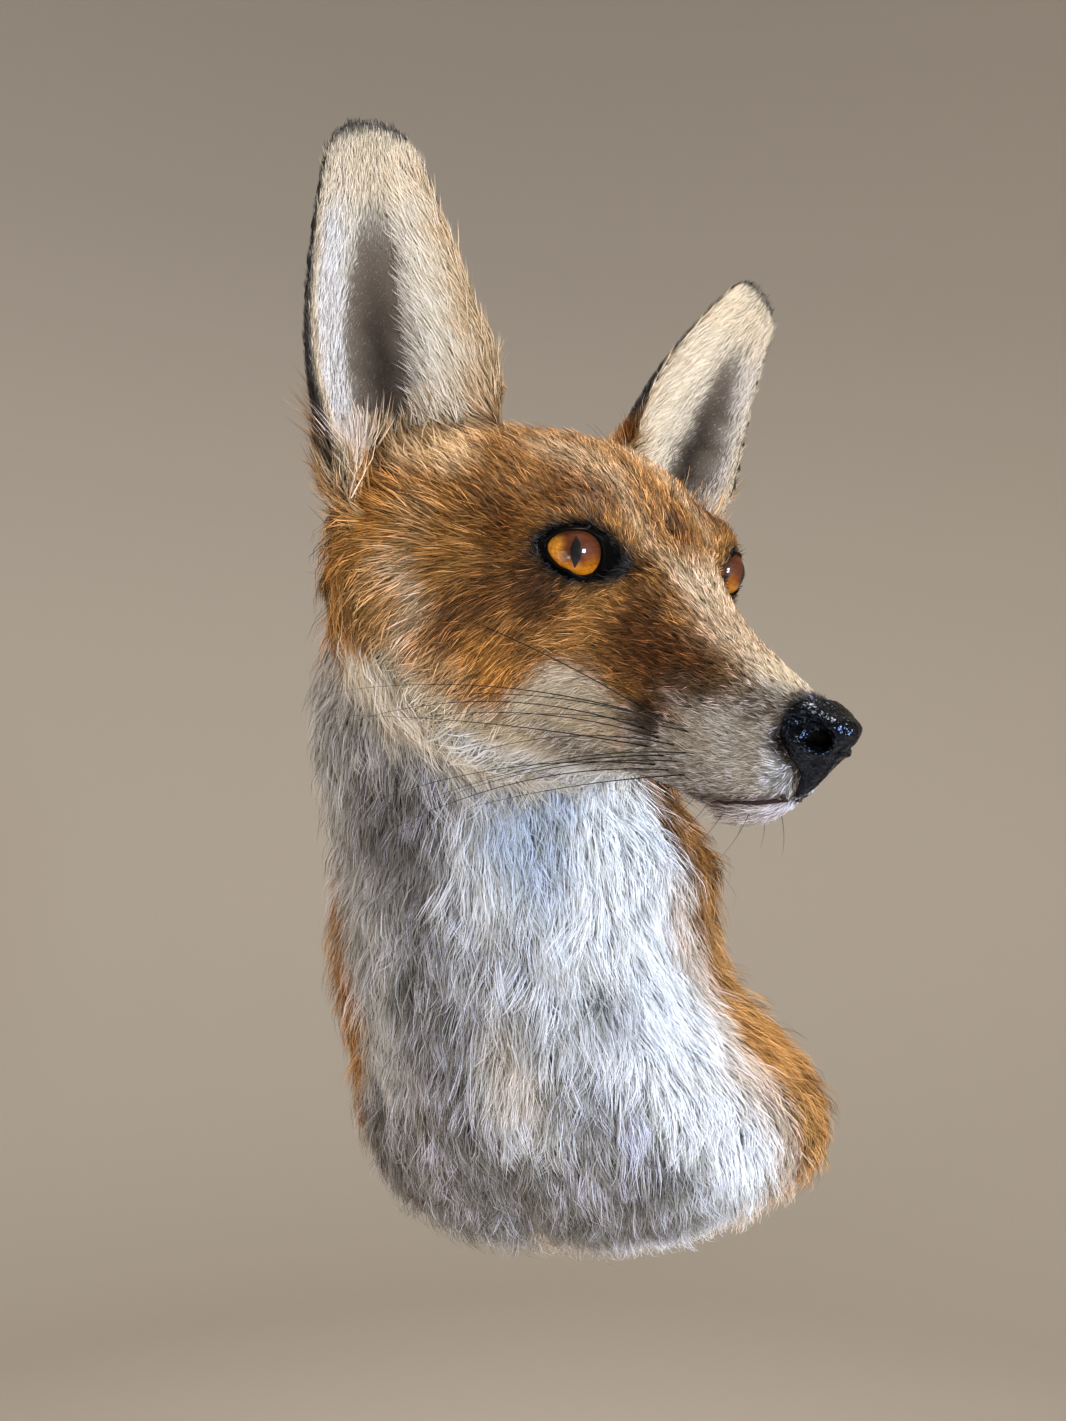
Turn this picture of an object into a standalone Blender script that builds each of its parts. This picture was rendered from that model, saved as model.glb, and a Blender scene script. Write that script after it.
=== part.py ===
"""A red fox shoulder mount: head, neck and chest on a hidden back board, to hang on a wall.

Metres, +Z up. The wall is the plane Y = 0 and the mount stands out from it towards -Y.
The origin is the middle of the back board's flat rear face. Left and right are the fox's own.
The solids are the outer shape of the coat. They are parted where a person would name the parts.
"""

import math
from collections import namedtuple

import bmesh
import bpy
from mathutils import Euler, Matrix, Vector

MM = 0.001
GAP = 0.3 * MM  # left between neighbours, so that no two solids overlap

# How the head is held: the middle between the eyes, then how far it turns, nods and tilts.
EYE_MIDDLE = Vector((0.055, -0.220, 0.190))
HEAD_TURN, HEAD_NOD, HEAD_TILT = map(math.radians, (-45, 22, 2))

EYE_RADIUS = 8.6 * MM
EYE_SPREAD = 26.6 * MM  # from the middle plane to the centre of an eyeball
EYE_SINK = 2.5 * MM  # how far the eyeballs' centres lie behind the eye middle
EYE_DROP = 0.8 * MM

VOXEL = 2.6 * MM
SMOOTH_ROUNDS = 5
FORM_TRIANGLES = 4000

# One cut through the head, square to its long axis, in millimetres. x runs forward from the eyes;
# top, bottom and widest are heights, half is the half width at the height "widest"; crown and
# jowl are the powers of the curve above and below it: 2 is an ellipse, less is leaner.
HeadCut = namedtuple("HeadCut", "x half top bottom widest crown jowl")
HEAD_CUTS = [
    HeadCut(74, 10.0, -22.5, -48.5, -35, 2.2, 2.2),  # behind the nose pad
    HeadCut(67, 12.5, -19.5, -55.5, -37, 2.3, 2.3),  # the canine teeth and the chin
    HeadCut(54, 15.5, -15.5, -59.0, -37, 2.3, 2.3),
    HeadCut(41, 17.5, -10.5, -60.0, -36, 2.2, 2.3),  # the middle of the muzzle
    HeadCut(27, 21.0, -3.0, -61.0, -35, 2.1, 2.2),
    HeadCut(14, 27.0, 8.0, -62.0, -31, 2.0, 2.1),  # the stop, in front of the eyes
    HeadCut(0, 37.0, 18.5, -67.0, -26, 1.8, 2.0),  # the eyes
    HeadCut(-16, 50.0, 27.0, -74.0, -26, 1.9, 2.0),  # the cheeks begin
    HeadCut(-34, 64.0, 32.0, -82.0, -26, 2.0, 2.0),
    HeadCut(-52, 76.0, 35.0, -88.0, -22, 2.1, 2.0),  # the ruff, at its widest
    HeadCut(-70, 79.0, 34.0, -84.0, -17, 2.1, 2.0),
    HeadCut(-88, 67.0, 27.0, -64.0, -13, 2.0, 2.0),
    HeadCut(-102, 36.0, 10.0, -36.0, -11, 2.0, 2.0),  # the nape
]

# One level cut through the neck and chest, in millimetres. x is its middle, half its half width,
# front and back its reach in Y, and widest the Y of the greatest width.
BodyCut = namedtuple("BodyCut", "z x half front back widest")
BODY_CUTS = [
    BodyCut(-75, -12, 32, -34, 8, -8),
    BodyCut(-64, -6, 58, -64, 12, -14),
    BodyCut(-46, 2, 85, -96, 14, -28),
    BodyCut(-19, 10, 102, -127, 16, -44),  # the points of the shoulders
    BodyCut(15, 6, 101, -148, 16, -54),
    BodyCut(50, -11, 86, -158, 10, -66),
    BodyCut(78, -13, 82, -165, -18, -80),  # the middle of the neck
    BodyCut(102, -9, 81, -170, -40, -94),
    BodyCut(122, -16, 74, -175, -56, -105),
    BodyCut(152, -19, 71, -182, -82, -124),
    BodyCut(194, -16, 65, -183, -102, -139),
    BodyCut(226, -13, 47, -174, -118, -147),
    BodyCut(239, -12, 27, -166, -132, -150),  # behind the ears
]

# The side view of the mouth line and of the muzzle's back edge, in the head's own axes, mm.
JAW_OUTLINE = [(96, -47), (76, -47.5), (50, -52.5), (26, -52), (12, -66), (6, -96), (96, -96)]
MUZZLE_OUTLINE = [(110, 40), (22, 40), (18, 0), (22, -50), (12, -66), (6, -96), (110, -96)]
HEAD_OUTLINE = [(130, 90), (-84, 90), (-80, 34), (-14, -92), (-10, -130), (130, -130)]

# One cut through the nose pad, in the same terms as the head's.
NOSE_CUTS = [
    HeadCut(64, 6.5, -22.0, -34.0, -28, 2.2, 2.0),
    HeadCut(70, 9.0, -20.5, -37.0, -28, 2.3, 1.7),
    HeadCut(76, 10.0, -21.5, -41.0, -28.5, 2.4, 1.4),
    HeadCut(80.5, 9.4, -23.2, -39.0, -29, 2.4, 1.35),
    HeadCut(83.5, 6.8, -25.0, -34.0, -29, 2.2, 1.6),
    HeadCut(84.7, 3.0, -27.0, -31.0, -29, 2.0, 2.0),
]
NOSTRIL = Vector((82.0, 6.6, -30.0)) * MM  # the left one; the right one mirrors it
NOSTRIL_SIZE = Vector((4.2, 2.6, 2.3)) * MM

# An ear is a cupped leaf, given by the middles of its base and tip, the way it opens, in the
# head's axes, and its breadth against the cuts below. The fox holds its right ear a little
# higher than its left.
Ear = namedtuple("Ear", "name base tip opening breadth")
EARS = [
    Ear("ear_left", (-78, 41, 4), (-70, 79, 98), (0.97, 0.16, 0.12), 0.97),
    Ear("ear_right", (-76, -50, 4), (-70, -79, 107), (0.98, 0.04, 0.12), 1.06),
]
# One cut across an ear: its share of the ear's height, half its width, how far its sides curl
# round the opening and its thickness, in millimetres and degrees.
EarCut = namedtuple("EarCut", "rise half curl thick")
EAR_CUTS = [
    EarCut(0.00, 24.0, 84, 9.0),
    EarCut(0.20, 29.0, 78, 8.0),
    EarCut(0.38, 31.0, 66, 6.5),  # the widest
    EarCut(0.56, 27.5, 54, 5.5),
    EarCut(0.72, 22.5, 46, 4.8),
    EarCut(0.84, 18.5, 40, 4.2),
    EarCut(0.93, 14.8, 36, 3.6),
    EarCut(0.98, 10.0, 34, 3.0),
    EarCut(1.00, 4.5, 34, 2.0),
]
EAR_BOW = 5 * MM  # how far the ear's middle is bowed backwards

BOARD_HALF = Vector((0.068, 0.060))  # half width and half height
BOARD_THICK = 12 * MM
HANGER_HEIGHT = 34 * MM
HANGER_SIZE = Vector((46, 1.2, 10)) * MM
HANGER_RECESS = Vector((52, 2.6, 16)) * MM
REAR_OF_HIDE = -1.0 * MM  # the hide ends just short of the wall

NECK_FOOT = 62 * MM  # the height at which the neck is parted from the chest
SHOULDER_CUTS = (-46 * MM, 52 * MM)  # where the shoulders are parted from it, across

# Colour, roughness and metallic value of each node.
RUSSET, SANDY, CREAM, WHITE = (0.36, 0.17, 0.06), (0.42, 0.25, 0.13), (0.70, 0.60, 0.46), (0.74, 0.73, 0.74)
LOOKS = {
    "head": (RUSSET, 0.9),
    "muzzle": (SANDY, 0.9),
    "lower_jaw": (CREAM, 0.9),
    "neck": (WHITE, 0.9),
    "chest": (WHITE, 0.9),
    "shoulder_left": (RUSSET, 0.9),
    "shoulder_right": (RUSSET, 0.9),
    "ear_left": (CREAM, 0.9),
    "ear_right": (CREAM, 0.9),
    "eye_left": ((0.45, 0.16, 0.02), 0.08),
    "eye_right": ((0.45, 0.16, 0.02), 0.08),
    "nose": ((0.012, 0.012, 0.014), 0.3),
    "back_board": ((0.50, 0.34, 0.19), 0.75),
    "hanger": ((0.55, 0.55, 0.56), 0.35, 1.0),
}


def clear_scene():
    for old in list(bpy.data.objects):
        bpy.data.objects.remove(old, do_unlink=True)


def new_object(name, mesh):
    made = bpy.data.objects.new(name, mesh)
    bpy.context.scene.collection.objects.link(made)
    return made


def settled(made):
    """The object with its modifiers worked into its mesh."""
    bpy.context.view_layer.update()
    graph = bpy.context.evaluated_depsgraph_get()
    mesh = bpy.data.meshes.new_from_object(made.evaluated_get(graph))
    made.modifiers.clear()
    made.data = mesh
    return made


def boolean(made, operation, other, keep=False):
    """Cuts or joins the object with another, which is removed unless it is kept."""
    modifier = made.modifiers.new(operation.lower(), "BOOLEAN")
    modifier.operation = operation
    modifier.solver = "EXACT"
    modifier.object = other
    settled(made)
    if not keep:
        bpy.data.objects.remove(other, do_unlink=True)
    return made


def copied(made, name):
    return new_object(name, made.data.copy())


def eased(rows, per_gap):
    """Rows of numbers, joined by a Catmull-Rom curve with per_gap steps between two of them."""
    made = []
    last = len(rows) - 1
    for i in range(last):
        before, start, end, after = (rows[max(0, min(last, i + k))] for k in (-1, 0, 1, 2))
        for step in range(per_gap):
            t = step / per_gap
            made.append([
                0.5 * (2 * b + (c - a) * t + (2 * a - 5 * b + 4 * c - d) * t * t
                       + (3 * b - a - 3 * c + d) * t ** 3)
                for a, b, c, d in zip(before, start, end, after)
            ])
    return made + [list(rows[last])]


def fan(shape, ring):
    """Closes a ring from its middle."""
    middle = shape.verts.new(sum((v.co for v in ring), Vector()) / len(ring))
    for i in range(len(ring)):
        shape.faces.new((ring[i], ring[(i + 1) % len(ring)], middle))


def ladder(shape, ring):
    """Closes a bent, lens-like ring with rungs from its one side to its other."""
    count = len(ring)
    half = count // 2
    shape.faces.new((ring[0], ring[1], ring[-1]))
    shape.faces.new((ring[half - 1], ring[half], ring[half + 1]))
    for i in range(1, half - 1):
        shape.faces.new((ring[i], ring[i + 1], ring[count - i - 1], ring[count - i]))


def loft(name, rings, cap=fan):
    """A closed skin over rings of equal counts."""
    shape = bmesh.new()
    loops = [[shape.verts.new(point) for point in ring] for ring in rings]
    for below, above in zip(loops, loops[1:]):
        for i in range(len(below)):
            j = (i + 1) % len(below)
            shape.faces.new((below[i], below[j], above[j], above[i]))
    for ring in (loops[0], loops[-1]):
        cap(shape, ring)
    bmesh.ops.recalc_face_normals(shape, faces=shape.faces)
    mesh = bpy.data.meshes.new(name)
    shape.to_mesh(mesh)
    shape.free()
    return new_object(name, mesh)


def power_point(angle, power):
    """The point at an angle round a curve of that power: 2 is a circle, more is squarer."""
    across, rise = math.cos(angle), math.sin(angle)
    ease = 2 / power
    return math.copysign(abs(across) ** ease, across), math.copysign(abs(rise) ** ease, rise)


def head_axes():
    turn = Euler((HEAD_TILT, HEAD_NOD, HEAD_TURN), "XYZ").to_matrix().to_4x4()
    return Matrix.Translation(EYE_MIDDLE) @ turn


def head_ring(cut, count, grow=0.0):
    """The points round one cut through the head, grown outwards by a length."""
    ring = []
    for step in range(count):
        angle = 2 * math.pi * step / count
        over = angle < math.pi
        across, rise = power_point(angle, cut.crown if over else cut.jowl)
        reach = (cut.top - cut.widest) if over else (cut.widest - cut.bottom)
        ring.append(Vector((
            cut.x * MM,
            (cut.half * MM + grow) * across,
            cut.widest * MM + (reach * MM + grow) * rise,
        )))
    return ring


def head_form():
    rings = [head_ring(HeadCut(*row), 36) for row in eased(HEAD_CUTS, 3)]
    made = loft("head_form", rings)
    made.data.transform(head_axes())
    return made


def body_form():
    count = 40
    rings = []
    for row in eased(BODY_CUTS, 3):
        cut = BodyCut(*row)
        ring = []
        for step in range(count):
            angle = 2 * math.pi * step / count
            across, along = power_point(angle, 2.1)
            reach = (cut.back - cut.widest) if angle < math.pi else (cut.widest - cut.front)
            ring.append(Vector((cut.x + cut.half * across, cut.widest + reach * along, cut.z)) * MM)
        rings.append(ring)
    return loft("body_form", rings)


def block(name, low, high):
    """A box between two corners."""
    shape = bmesh.new()
    bmesh.ops.create_cube(shape, size=1)
    size = Vector(high) - Vector(low)
    bmesh.ops.scale(shape, vec=size, verts=shape.verts)
    bmesh.ops.translate(shape, vec=(Vector(low) + Vector(high)) / 2, verts=shape.verts)
    mesh = bpy.data.meshes.new(name)
    shape.to_mesh(mesh)
    shape.free()
    return new_object(name, mesh)


def ball(name, middle, size, around=16, up=10):
    """An egg of three half sizes."""
    shape = bmesh.new()
    bmesh.ops.create_uvsphere(shape, u_segments=around, v_segments=up, radius=1)
    bmesh.ops.scale(shape, vec=size, verts=shape.verts)
    bmesh.ops.translate(shape, vec=middle, verts=shape.verts)
    mesh = bpy.data.meshes.new(name)
    shape.to_mesh(mesh)
    shape.free()
    return new_object(name, mesh)


def side_slab(name, outline, grow=0.0):
    """A side view's outline in the head's axes, drawn right through the head, grown by a length."""
    middle = sum((Vector(p) for p in outline), Vector((0, 0))) / len(outline)
    points = []
    for i, here in enumerate(outline):
        before, after = Vector(outline[i - 1]), Vector(outline[(i + 1) % len(outline)])
        here = Vector(here)
        normals = [Vector((d.y, -d.x)).normalized() for d in (here - before, after - here)]
        normals = [n if n.dot(here - middle) > 0 else -n for n in normals]
        out = (normals[0] + normals[1]).normalized()
        points.append(here * MM + out * grow / max(0.4, out.dot(normals[0])))
    reach = 0.12
    rings = [[Vector((p.x, y, p.y)) for p in points] for y in (-reach, reach)]
    made = loft(name, rings)
    made.data.transform(head_axes())
    return made


def flesh_form():
    """The whole outer shape of head, neck and chest, before it is parted."""
    form = boolean(head_form(), "UNION", body_form())
    form.name = "form"
    remesh = form.modifiers.new("remesh", "REMESH")
    remesh.mode = "VOXEL"
    remesh.voxel_size = VOXEL
    smooth = form.modifiers.new("smooth", "SMOOTH")
    smooth.factor = 0.5
    smooth.iterations = SMOOTH_ROUNDS
    settled(form)
    thin = form.modifiers.new("thin", "DECIMATE")
    thin.ratio = FORM_TRIANGLES / (2 * len(form.data.polygons))
    thin.use_collapse_triangulate = True
    settled(form)
    return boolean(form, "DIFFERENCE", block("wall", (-1, REAR_OF_HIDE, -1), (1, 1, 1)))


def eye_place(side):
    """The middle of an eyeball, in the head's axes."""
    return Vector((-EYE_SINK, side * EYE_SPREAD, -EYE_DROP))


def eyeball(name, side, grow=0.0):
    return ball(name, head_axes() @ eye_place(side), (EYE_RADIUS + grow,) * 3)


def nose_form(name, grow=0.0):
    cuts = [HeadCut(*row) for row in eased(NOSE_CUTS, 2)]
    rings = [head_ring(cut, 16, grow) for cut in cuts]
    for ring, end in ((rings[0], -grow), (rings[-1], grow)):
        for point in ring:
            point.x += end
    return loft(name, rings)


def nose():
    made = nose_form("nose")
    for side in (-1, 1):
        place = Vector((NOSTRIL.x, side * NOSTRIL.y, NOSTRIL.z))
        boolean(made, "DIFFERENCE", ball("nostril", place, NOSTRIL_SIZE, 12, 8))
    made.data.transform(head_axes())
    return made


def ear_leaf(ear):
    """The ear: lens-like cuts, bent round the opening, from the base to the tip."""
    base, tip = Vector(ear.base) * MM, Vector(ear.tip) * MM
    up = (tip - base).normalized()
    front = Vector(ear.opening)
    front = (front - front.dot(up) * up).normalized()
    side = up.cross(front)
    count = 10
    rings = []
    for row in eased(EAR_CUTS, 2):
        cut = EarCut(*row)
        curl = math.radians(cut.curl)
        radius = cut.half * MM * ear.breadth / math.sin(curl)
        middle = base.lerp(tip, cut.rise) - front * EAR_BOW * math.sin(math.pi * cut.rise)
        ring = []
        for step in range(2 * count):
            inner = step < count
            share = step / count if inner else 2 - step / count
            bend = curl * (2 * share - 1)
            depth = cut.thick * MM * math.sqrt(max(0, 1 - (2 * share - 1) ** 2)) / 2
            reach = radius - depth if inner else radius + depth
            ring.append(middle + side * reach * math.sin(bend)
                        + front * (radius - reach * math.cos(bend)))
        rings.append(ring)
    made = loft(ear.name, rings, ladder)
    made.data.transform(head_axes())
    return made


def part_off(rest, name, cutter):
    """Splits what lies in the cutter off the rest, with a thin gap. cutter(name, grow) makes it."""
    made = boolean(copied(rest, name), "INTERSECT", cutter("cutter", 0.0))
    boolean(rest, "DIFFERENCE", cutter("cutter", GAP))
    return made


def slab_of(outline):
    return lambda name, grow: side_slab(name, outline, grow)


def box_of(low, high):
    return lambda name, grow: block(name, [v - grow for v in low], [v + grow for v in high])


def board_form(name, grow=0.0):
    shape = bmesh.new()
    bmesh.ops.create_cone(shape, cap_ends=True, segments=40, radius1=1, radius2=1, depth=1)
    mesh = bpy.data.meshes.new(name)
    shape.to_mesh(mesh)
    shape.free()
    mesh.transform(Matrix.Rotation(math.pi / 2, 4, "X"))
    size = Vector((BOARD_HALF.x + grow, BOARD_THICK + 2 * grow, BOARD_HALF.y + grow, 1))
    mesh.transform(Matrix.Translation((0, -BOARD_THICK / 2, 0)) @ Matrix.Diagonal(size))
    return new_object(name, mesh)


def back_board():
    made = board_form("back_board")
    half = HANGER_RECESS / 2
    low = Vector((-half.x, -HANGER_RECESS.y, HANGER_HEIGHT - half.z))
    high = Vector((half.x, 0.01, HANGER_HEIGHT + half.z))
    boolean(made, "DIFFERENCE", block("recess", low, high))
    edge = made.modifiers.new("edge", "BEVEL")
    edge.width = 1.0 * MM
    edge.segments = 1
    edge.limit_method = "ANGLE"
    edge.angle_limit = math.radians(60)
    return settled(made)


def hanger():
    """A steel strip with a saw-toothed lower edge, nailed in the board's recess."""
    half = HANGER_SIZE / 2
    back = -HANGER_RECESS.y + GAP
    low = Vector((-half.x, back, HANGER_HEIGHT - half.z))
    high = Vector((half.x, back + HANGER_SIZE.y, HANGER_HEIGHT + half.z))
    made = block("hanger", low, high)
    teeth = 9
    pitch = 3.2 * MM
    for i in range(teeth):
        notch = block("notch", (-1.1 * MM,) * 3, (1.1 * MM,) * 3)
        notch.data.transform(Matrix.Rotation(math.pi / 4, 4, "Y"))
        notch.data.transform(Matrix.Scale(4, 4, (0, 1, 0)))
        middle = Vector(((i - (teeth - 1) / 2) * pitch, back, low.z))
        notch.data.transform(Matrix.Translation(middle))
        boolean(made, "DIFFERENCE", notch)
    return made


def dress(made, colour, roughness, metallic=0.0):
    """A material of the object's own, and smooth shading across its gentle edges."""
    material = bpy.data.materials.new(made.name)
    material.use_nodes = True
    surface = material.node_tree.nodes["Principled BSDF"]
    surface.inputs["Base Color"].default_value = (*colour, 1)
    surface.inputs["Roughness"].default_value = roughness
    surface.inputs["Metallic"].default_value = metallic
    made.data.materials.clear()
    made.data.materials.append(material)
    made.data.shade_smooth()
    made.data.set_sharp_from_angle(angle=math.radians(40))


def place_under(made, parent, spot):
    """Hangs the object on its parent with its origin at a spot in the parent's axes."""
    seat = parent.matrix_world @ Matrix.Translation(spot)
    made.data.transform(seat.inverted())
    made.parent = parent
    made.location = spot


def parted():
    """Makes every node of the mount in its place."""
    form = flesh_form()
    grown = copied(form, "grown")
    swell = grown.modifiers.new("swell", "DISPLACE")
    swell.strength = GAP
    swell.mid_level = 0
    settled(grown)
    for ear in EARS:
        boolean(ear_leaf(ear), "DIFFERENCE", grown, keep=True)
    bpy.data.objects.remove(grown, do_unlink=True)
    for name, side in (("eye_left", 1), ("eye_right", -1)):
        eyeball(name, side)
        boolean(form, "DIFFERENCE", eyeball("socket", side, GAP))
    nose()
    seat = nose_form("seat", GAP)
    seat.data.transform(head_axes())
    boolean(form, "DIFFERENCE", seat)
    back_board()
    boolean(form, "DIFFERENCE", board_form("seat", GAP))
    hanger()
    part_off(form, "lower_jaw", slab_of(JAW_OUTLINE))
    part_off(form, "muzzle", slab_of(MUZZLE_OUTLINE))
    part_off(form, "head", slab_of(HEAD_OUTLINE))
    part_off(form, "neck", box_of((-1, -1, NECK_FOOT), (1, 1, 1)))
    part_off(form, "shoulder_left", box_of((SHOULDER_CUTS[1], -1, -1), (1, 1, 1)))
    part_off(form, "shoulder_right", box_of((-1, -1, -1), (SHOULDER_CUTS[0], 1, 1)))
    form.name = "chest"


def build():
    clear_scene()
    parted()
    head_place = bpy.data.objects.new("head_place", None)
    head_place.empty_display_size = 0.03
    head_place.matrix_world = head_axes()
    bpy.context.scene.collection.objects.link(head_place)
    bpy.context.view_layer.update()
    spots = {
        "head": Vector(),
        "muzzle": Vector((20, 0, -30)) * MM,
        "lower_jaw": Vector((20, 0, -55)) * MM,
        "nose": Vector((75, 0, -28)) * MM,
        "eye_left": eye_place(1),
        "eye_right": eye_place(-1),
    }
    for ear in EARS:
        spots[ear.name] = Vector(ear.base) * MM
    for name, spot in spots.items():
        place_under(bpy.data.objects[name], head_place, spot)
    for name, look in LOOKS.items():
        dress(bpy.data.objects[name], *look)
    mount = bpy.data.collections.new("taxidermy_fox_mount")
    bpy.context.scene.collection.children.link(mount)
    for made in list(bpy.context.scene.collection.objects):
        bpy.context.scene.collection.objects.unlink(made)
        mount.objects.link(made)


build()
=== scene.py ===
"""The looks of the fox shoulder mount: one skin, its fur, eyes, lids, nose, lips and whiskers.

Metres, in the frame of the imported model. Places on the head are in the head's own axes, in
millimetres: x runs forward from between the eyes, y to the fox's left and z up. Those given for
one side of the face hold for both.
"""

import math
from collections import namedtuple

import bmesh
import bpy
import numpy as np
from mathutils import Euler, Matrix, Vector
from mathutils.bvhtree import BVHTree
from mathutils.kdtree import KDTree


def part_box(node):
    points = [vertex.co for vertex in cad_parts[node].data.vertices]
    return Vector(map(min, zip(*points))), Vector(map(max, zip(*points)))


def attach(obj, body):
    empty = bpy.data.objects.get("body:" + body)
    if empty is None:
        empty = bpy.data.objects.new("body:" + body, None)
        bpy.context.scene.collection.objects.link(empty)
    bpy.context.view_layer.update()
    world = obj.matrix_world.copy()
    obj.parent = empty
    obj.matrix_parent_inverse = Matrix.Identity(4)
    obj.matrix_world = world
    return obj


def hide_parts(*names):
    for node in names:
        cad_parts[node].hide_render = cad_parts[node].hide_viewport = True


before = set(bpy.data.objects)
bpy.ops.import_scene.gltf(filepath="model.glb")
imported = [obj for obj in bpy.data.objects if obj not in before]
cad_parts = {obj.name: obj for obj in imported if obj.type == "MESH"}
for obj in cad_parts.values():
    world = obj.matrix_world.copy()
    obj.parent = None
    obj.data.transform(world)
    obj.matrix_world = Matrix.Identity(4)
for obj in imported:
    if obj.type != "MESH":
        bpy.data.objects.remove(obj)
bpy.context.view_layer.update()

MM = 0.001

# How the head is held, as in the solids, and where its eyes sit in its axes and look.
HEAD_TURN, HEAD_NOD, HEAD_TILT = map(math.radians, (-45, 22, 2))
EYE_SINK, EYE_SPREAD, EYE_DROP, EYE_RADIUS = 2.5, 26.6, 0.8, 8.6
GAZE_OUT, GAZE_UP = map(math.radians, (32.5, 5))

HEAD_REGION, BODY_REGION, LEFT_EAR, RIGHT_EAR = range(4)
FLESH = {"head": HEAD_REGION, "muzzle": HEAD_REGION, "lower_jaw": HEAD_REGION,
         "neck": BODY_REGION, "chest": BODY_REGION, "shoulder_left": BODY_REGION,
         "shoulder_right": BODY_REGION, "ear_left": LEFT_EAR, "ear_right": RIGHT_EAR}
SOCKET_FILLERS = ["eye_left", "eye_right", "nose"]  # so that the skin runs on under them

Eye = namedtuple("Eye", "name side middle gaze inward upward")
Ear = namedtuple("Ear", "region base up outer front height hollow half_hollow gold rim")
Skin = namedtuple("Skin", "points triangles normals edges region shares inside depth tree")
Coat = namedtuple("Coat", "flow colour length stand growth")


def node_box_middle(node):
    low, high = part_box(node)
    return (Vector(low) + Vector(high)) / 2


def head_matrix():
    """The head's axes, in metres: it turns as the solids do and its eyes are the solids' eyes."""
    turn = Euler((HEAD_TILT, HEAD_NOD, HEAD_TURN), "XYZ").to_matrix()
    between = (node_box_middle("eye_left") + node_box_middle("eye_right")) / 2
    origin = between + turn @ Vector((EYE_SINK, 0, EYE_DROP)) * MM
    return Matrix.Translation(origin) @ turn.to_4x4()


HEAD = head_matrix()
HEAD_ROTATION = np.array(HEAD.to_3x3())
HEAD_ORIGIN = np.array(HEAD.translation)


def to_head(points):
    """World metres to the head's axes in millimetres."""
    return (points - HEAD_ORIGIN) @ HEAD_ROTATION / MM


def from_head(points):
    return np.asarray(points, float) * MM @ HEAD_ROTATION.T + HEAD_ORIGIN


def unit(vectors):
    return vectors / np.maximum(np.linalg.norm(vectors, axis=-1, keepdims=True), 1e-9)


def ease(low, high, values):
    """0 below low and 1 above high, smooth between."""
    t = np.clip((values - low) / (high - low), 0, 1)
    return t * t * (3 - 2 * t)


def bell(offsets, width):
    """1 at an offset of 0, falling off smoothly on both sides."""
    return np.exp(-(offsets / width) ** 2)


def one_sided(p):
    """Points of the head with the right half mirrored onto the left."""
    return np.stack([p[:, 0], np.abs(p[:, 1]), p[:, 2]], 1)


def blob(p, middle, radii):
    """1 in the middle of a soft egg-shaped spot, on both sides of the head, and 0 outside it."""
    reach = np.linalg.norm((one_sided(p) - np.array(middle)) / np.array(radii), axis=1)
    return 1 - ease(0.45, 1.25, reach)


def along(xs, knots):
    """A value read off a few (x, value) knots."""
    knots = sorted(knots)
    return np.interp(xs, [k[0] for k in knots], [k[1] for k in knots])


def near_line(p, line):
    """How near points are to a bent line, in millimetres."""
    line = np.array(line, float)
    best = np.full(len(p), 1e9)
    for a, b in zip(line, line[1:]):
        share = np.clip((p - a) @ (b - a) / ((b - a) @ (b - a)), 0, 1)
        best = np.minimum(best, np.linalg.norm(p - a - share[:, None] * (b - a), axis=1))
    return best


def waviness(points, size, seed=0):
    """Smooth noise between -1 and 1 with features of about that size, in the points' own unit."""
    dice = np.random.default_rng(seed)
    total = np.zeros(len(points))
    for octave, weight in ((1, 0.5), (1.9, 0.3), (3.7, 0.2)):
        for _ in range(3):
            way = unit(dice.normal(size=3)) * 2 * math.pi * octave / size
            total += weight / 1.6 * np.sin(points @ way + dice.uniform(0, 2 * math.pi))
    return np.clip(total / 1.2, -1, 1)


def make_eye(name, side):
    """An eye's middle, its gaze, its way towards the nose and its way up, in the head's axes."""
    middle = np.array((-EYE_SINK, side * EYE_SPREAD, -EYE_DROP))
    gaze = np.array((math.cos(GAZE_OUT) * math.cos(GAZE_UP),
                     side * math.sin(GAZE_OUT) * math.cos(GAZE_UP), math.sin(GAZE_UP)))
    inward = unit(np.cross((0, 0, 1), gaze)) * -side
    return Eye(name, side, middle, gaze, inward, np.cross(inward, gaze) * side)


def make_ear(region, base, tip, opening, *looks):
    """An ear's axes from its base and tip, the way that its cup opens, and how it looks."""
    base, tip = np.array(base, float), np.array(tip, float)
    up = unit(tip - base)
    front = np.array(opening, float)
    front = unit(front - front @ up * up)
    outer = np.cross(up, front) * (1 if base[1] > 0 else -1)
    return Ear(region, base, up, outer, front, np.linalg.norm(tip - base), *looks)


EYES = [make_eye("left", 1), make_eye("right", -1)]
# Each ear's base, tip and way of opening, then where across the cup its hollow shows between the
# hair of both sides (0 is the middle and 1 the outer rim), half the hollow's breadth, how much
# gold is in the cup's hair, and whether the black of the back shows at the outer rim, 1 or 0.
EARS = [
    make_ear(LEFT_EAR, (-78, 41, 4), (-70, 79, 98), (0.97, 0.16, 0.12), 0.50, 0.27, 0.60, 0.0),
    make_ear(RIGHT_EAR, (-76, -50, 4), (-70, -79, 107), (0.98, 0.04, 0.12), 0.07, 0.40, 0.22, 1.0),
]


# ---------------------------------------------------------------- camera, light and stage

CAMERA_PLACE, CAMERA_LOOK = (0.081, -0.526, 0.109), (-0.198, 0.973, 0.1196)
CAMERA_LENS, CAMERA_SENSOR, CLIP_START = 26.93, 36, 0.01
HEART = (0, -0.15, 0.12)  # the middle of the mount, where most lights aim
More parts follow.
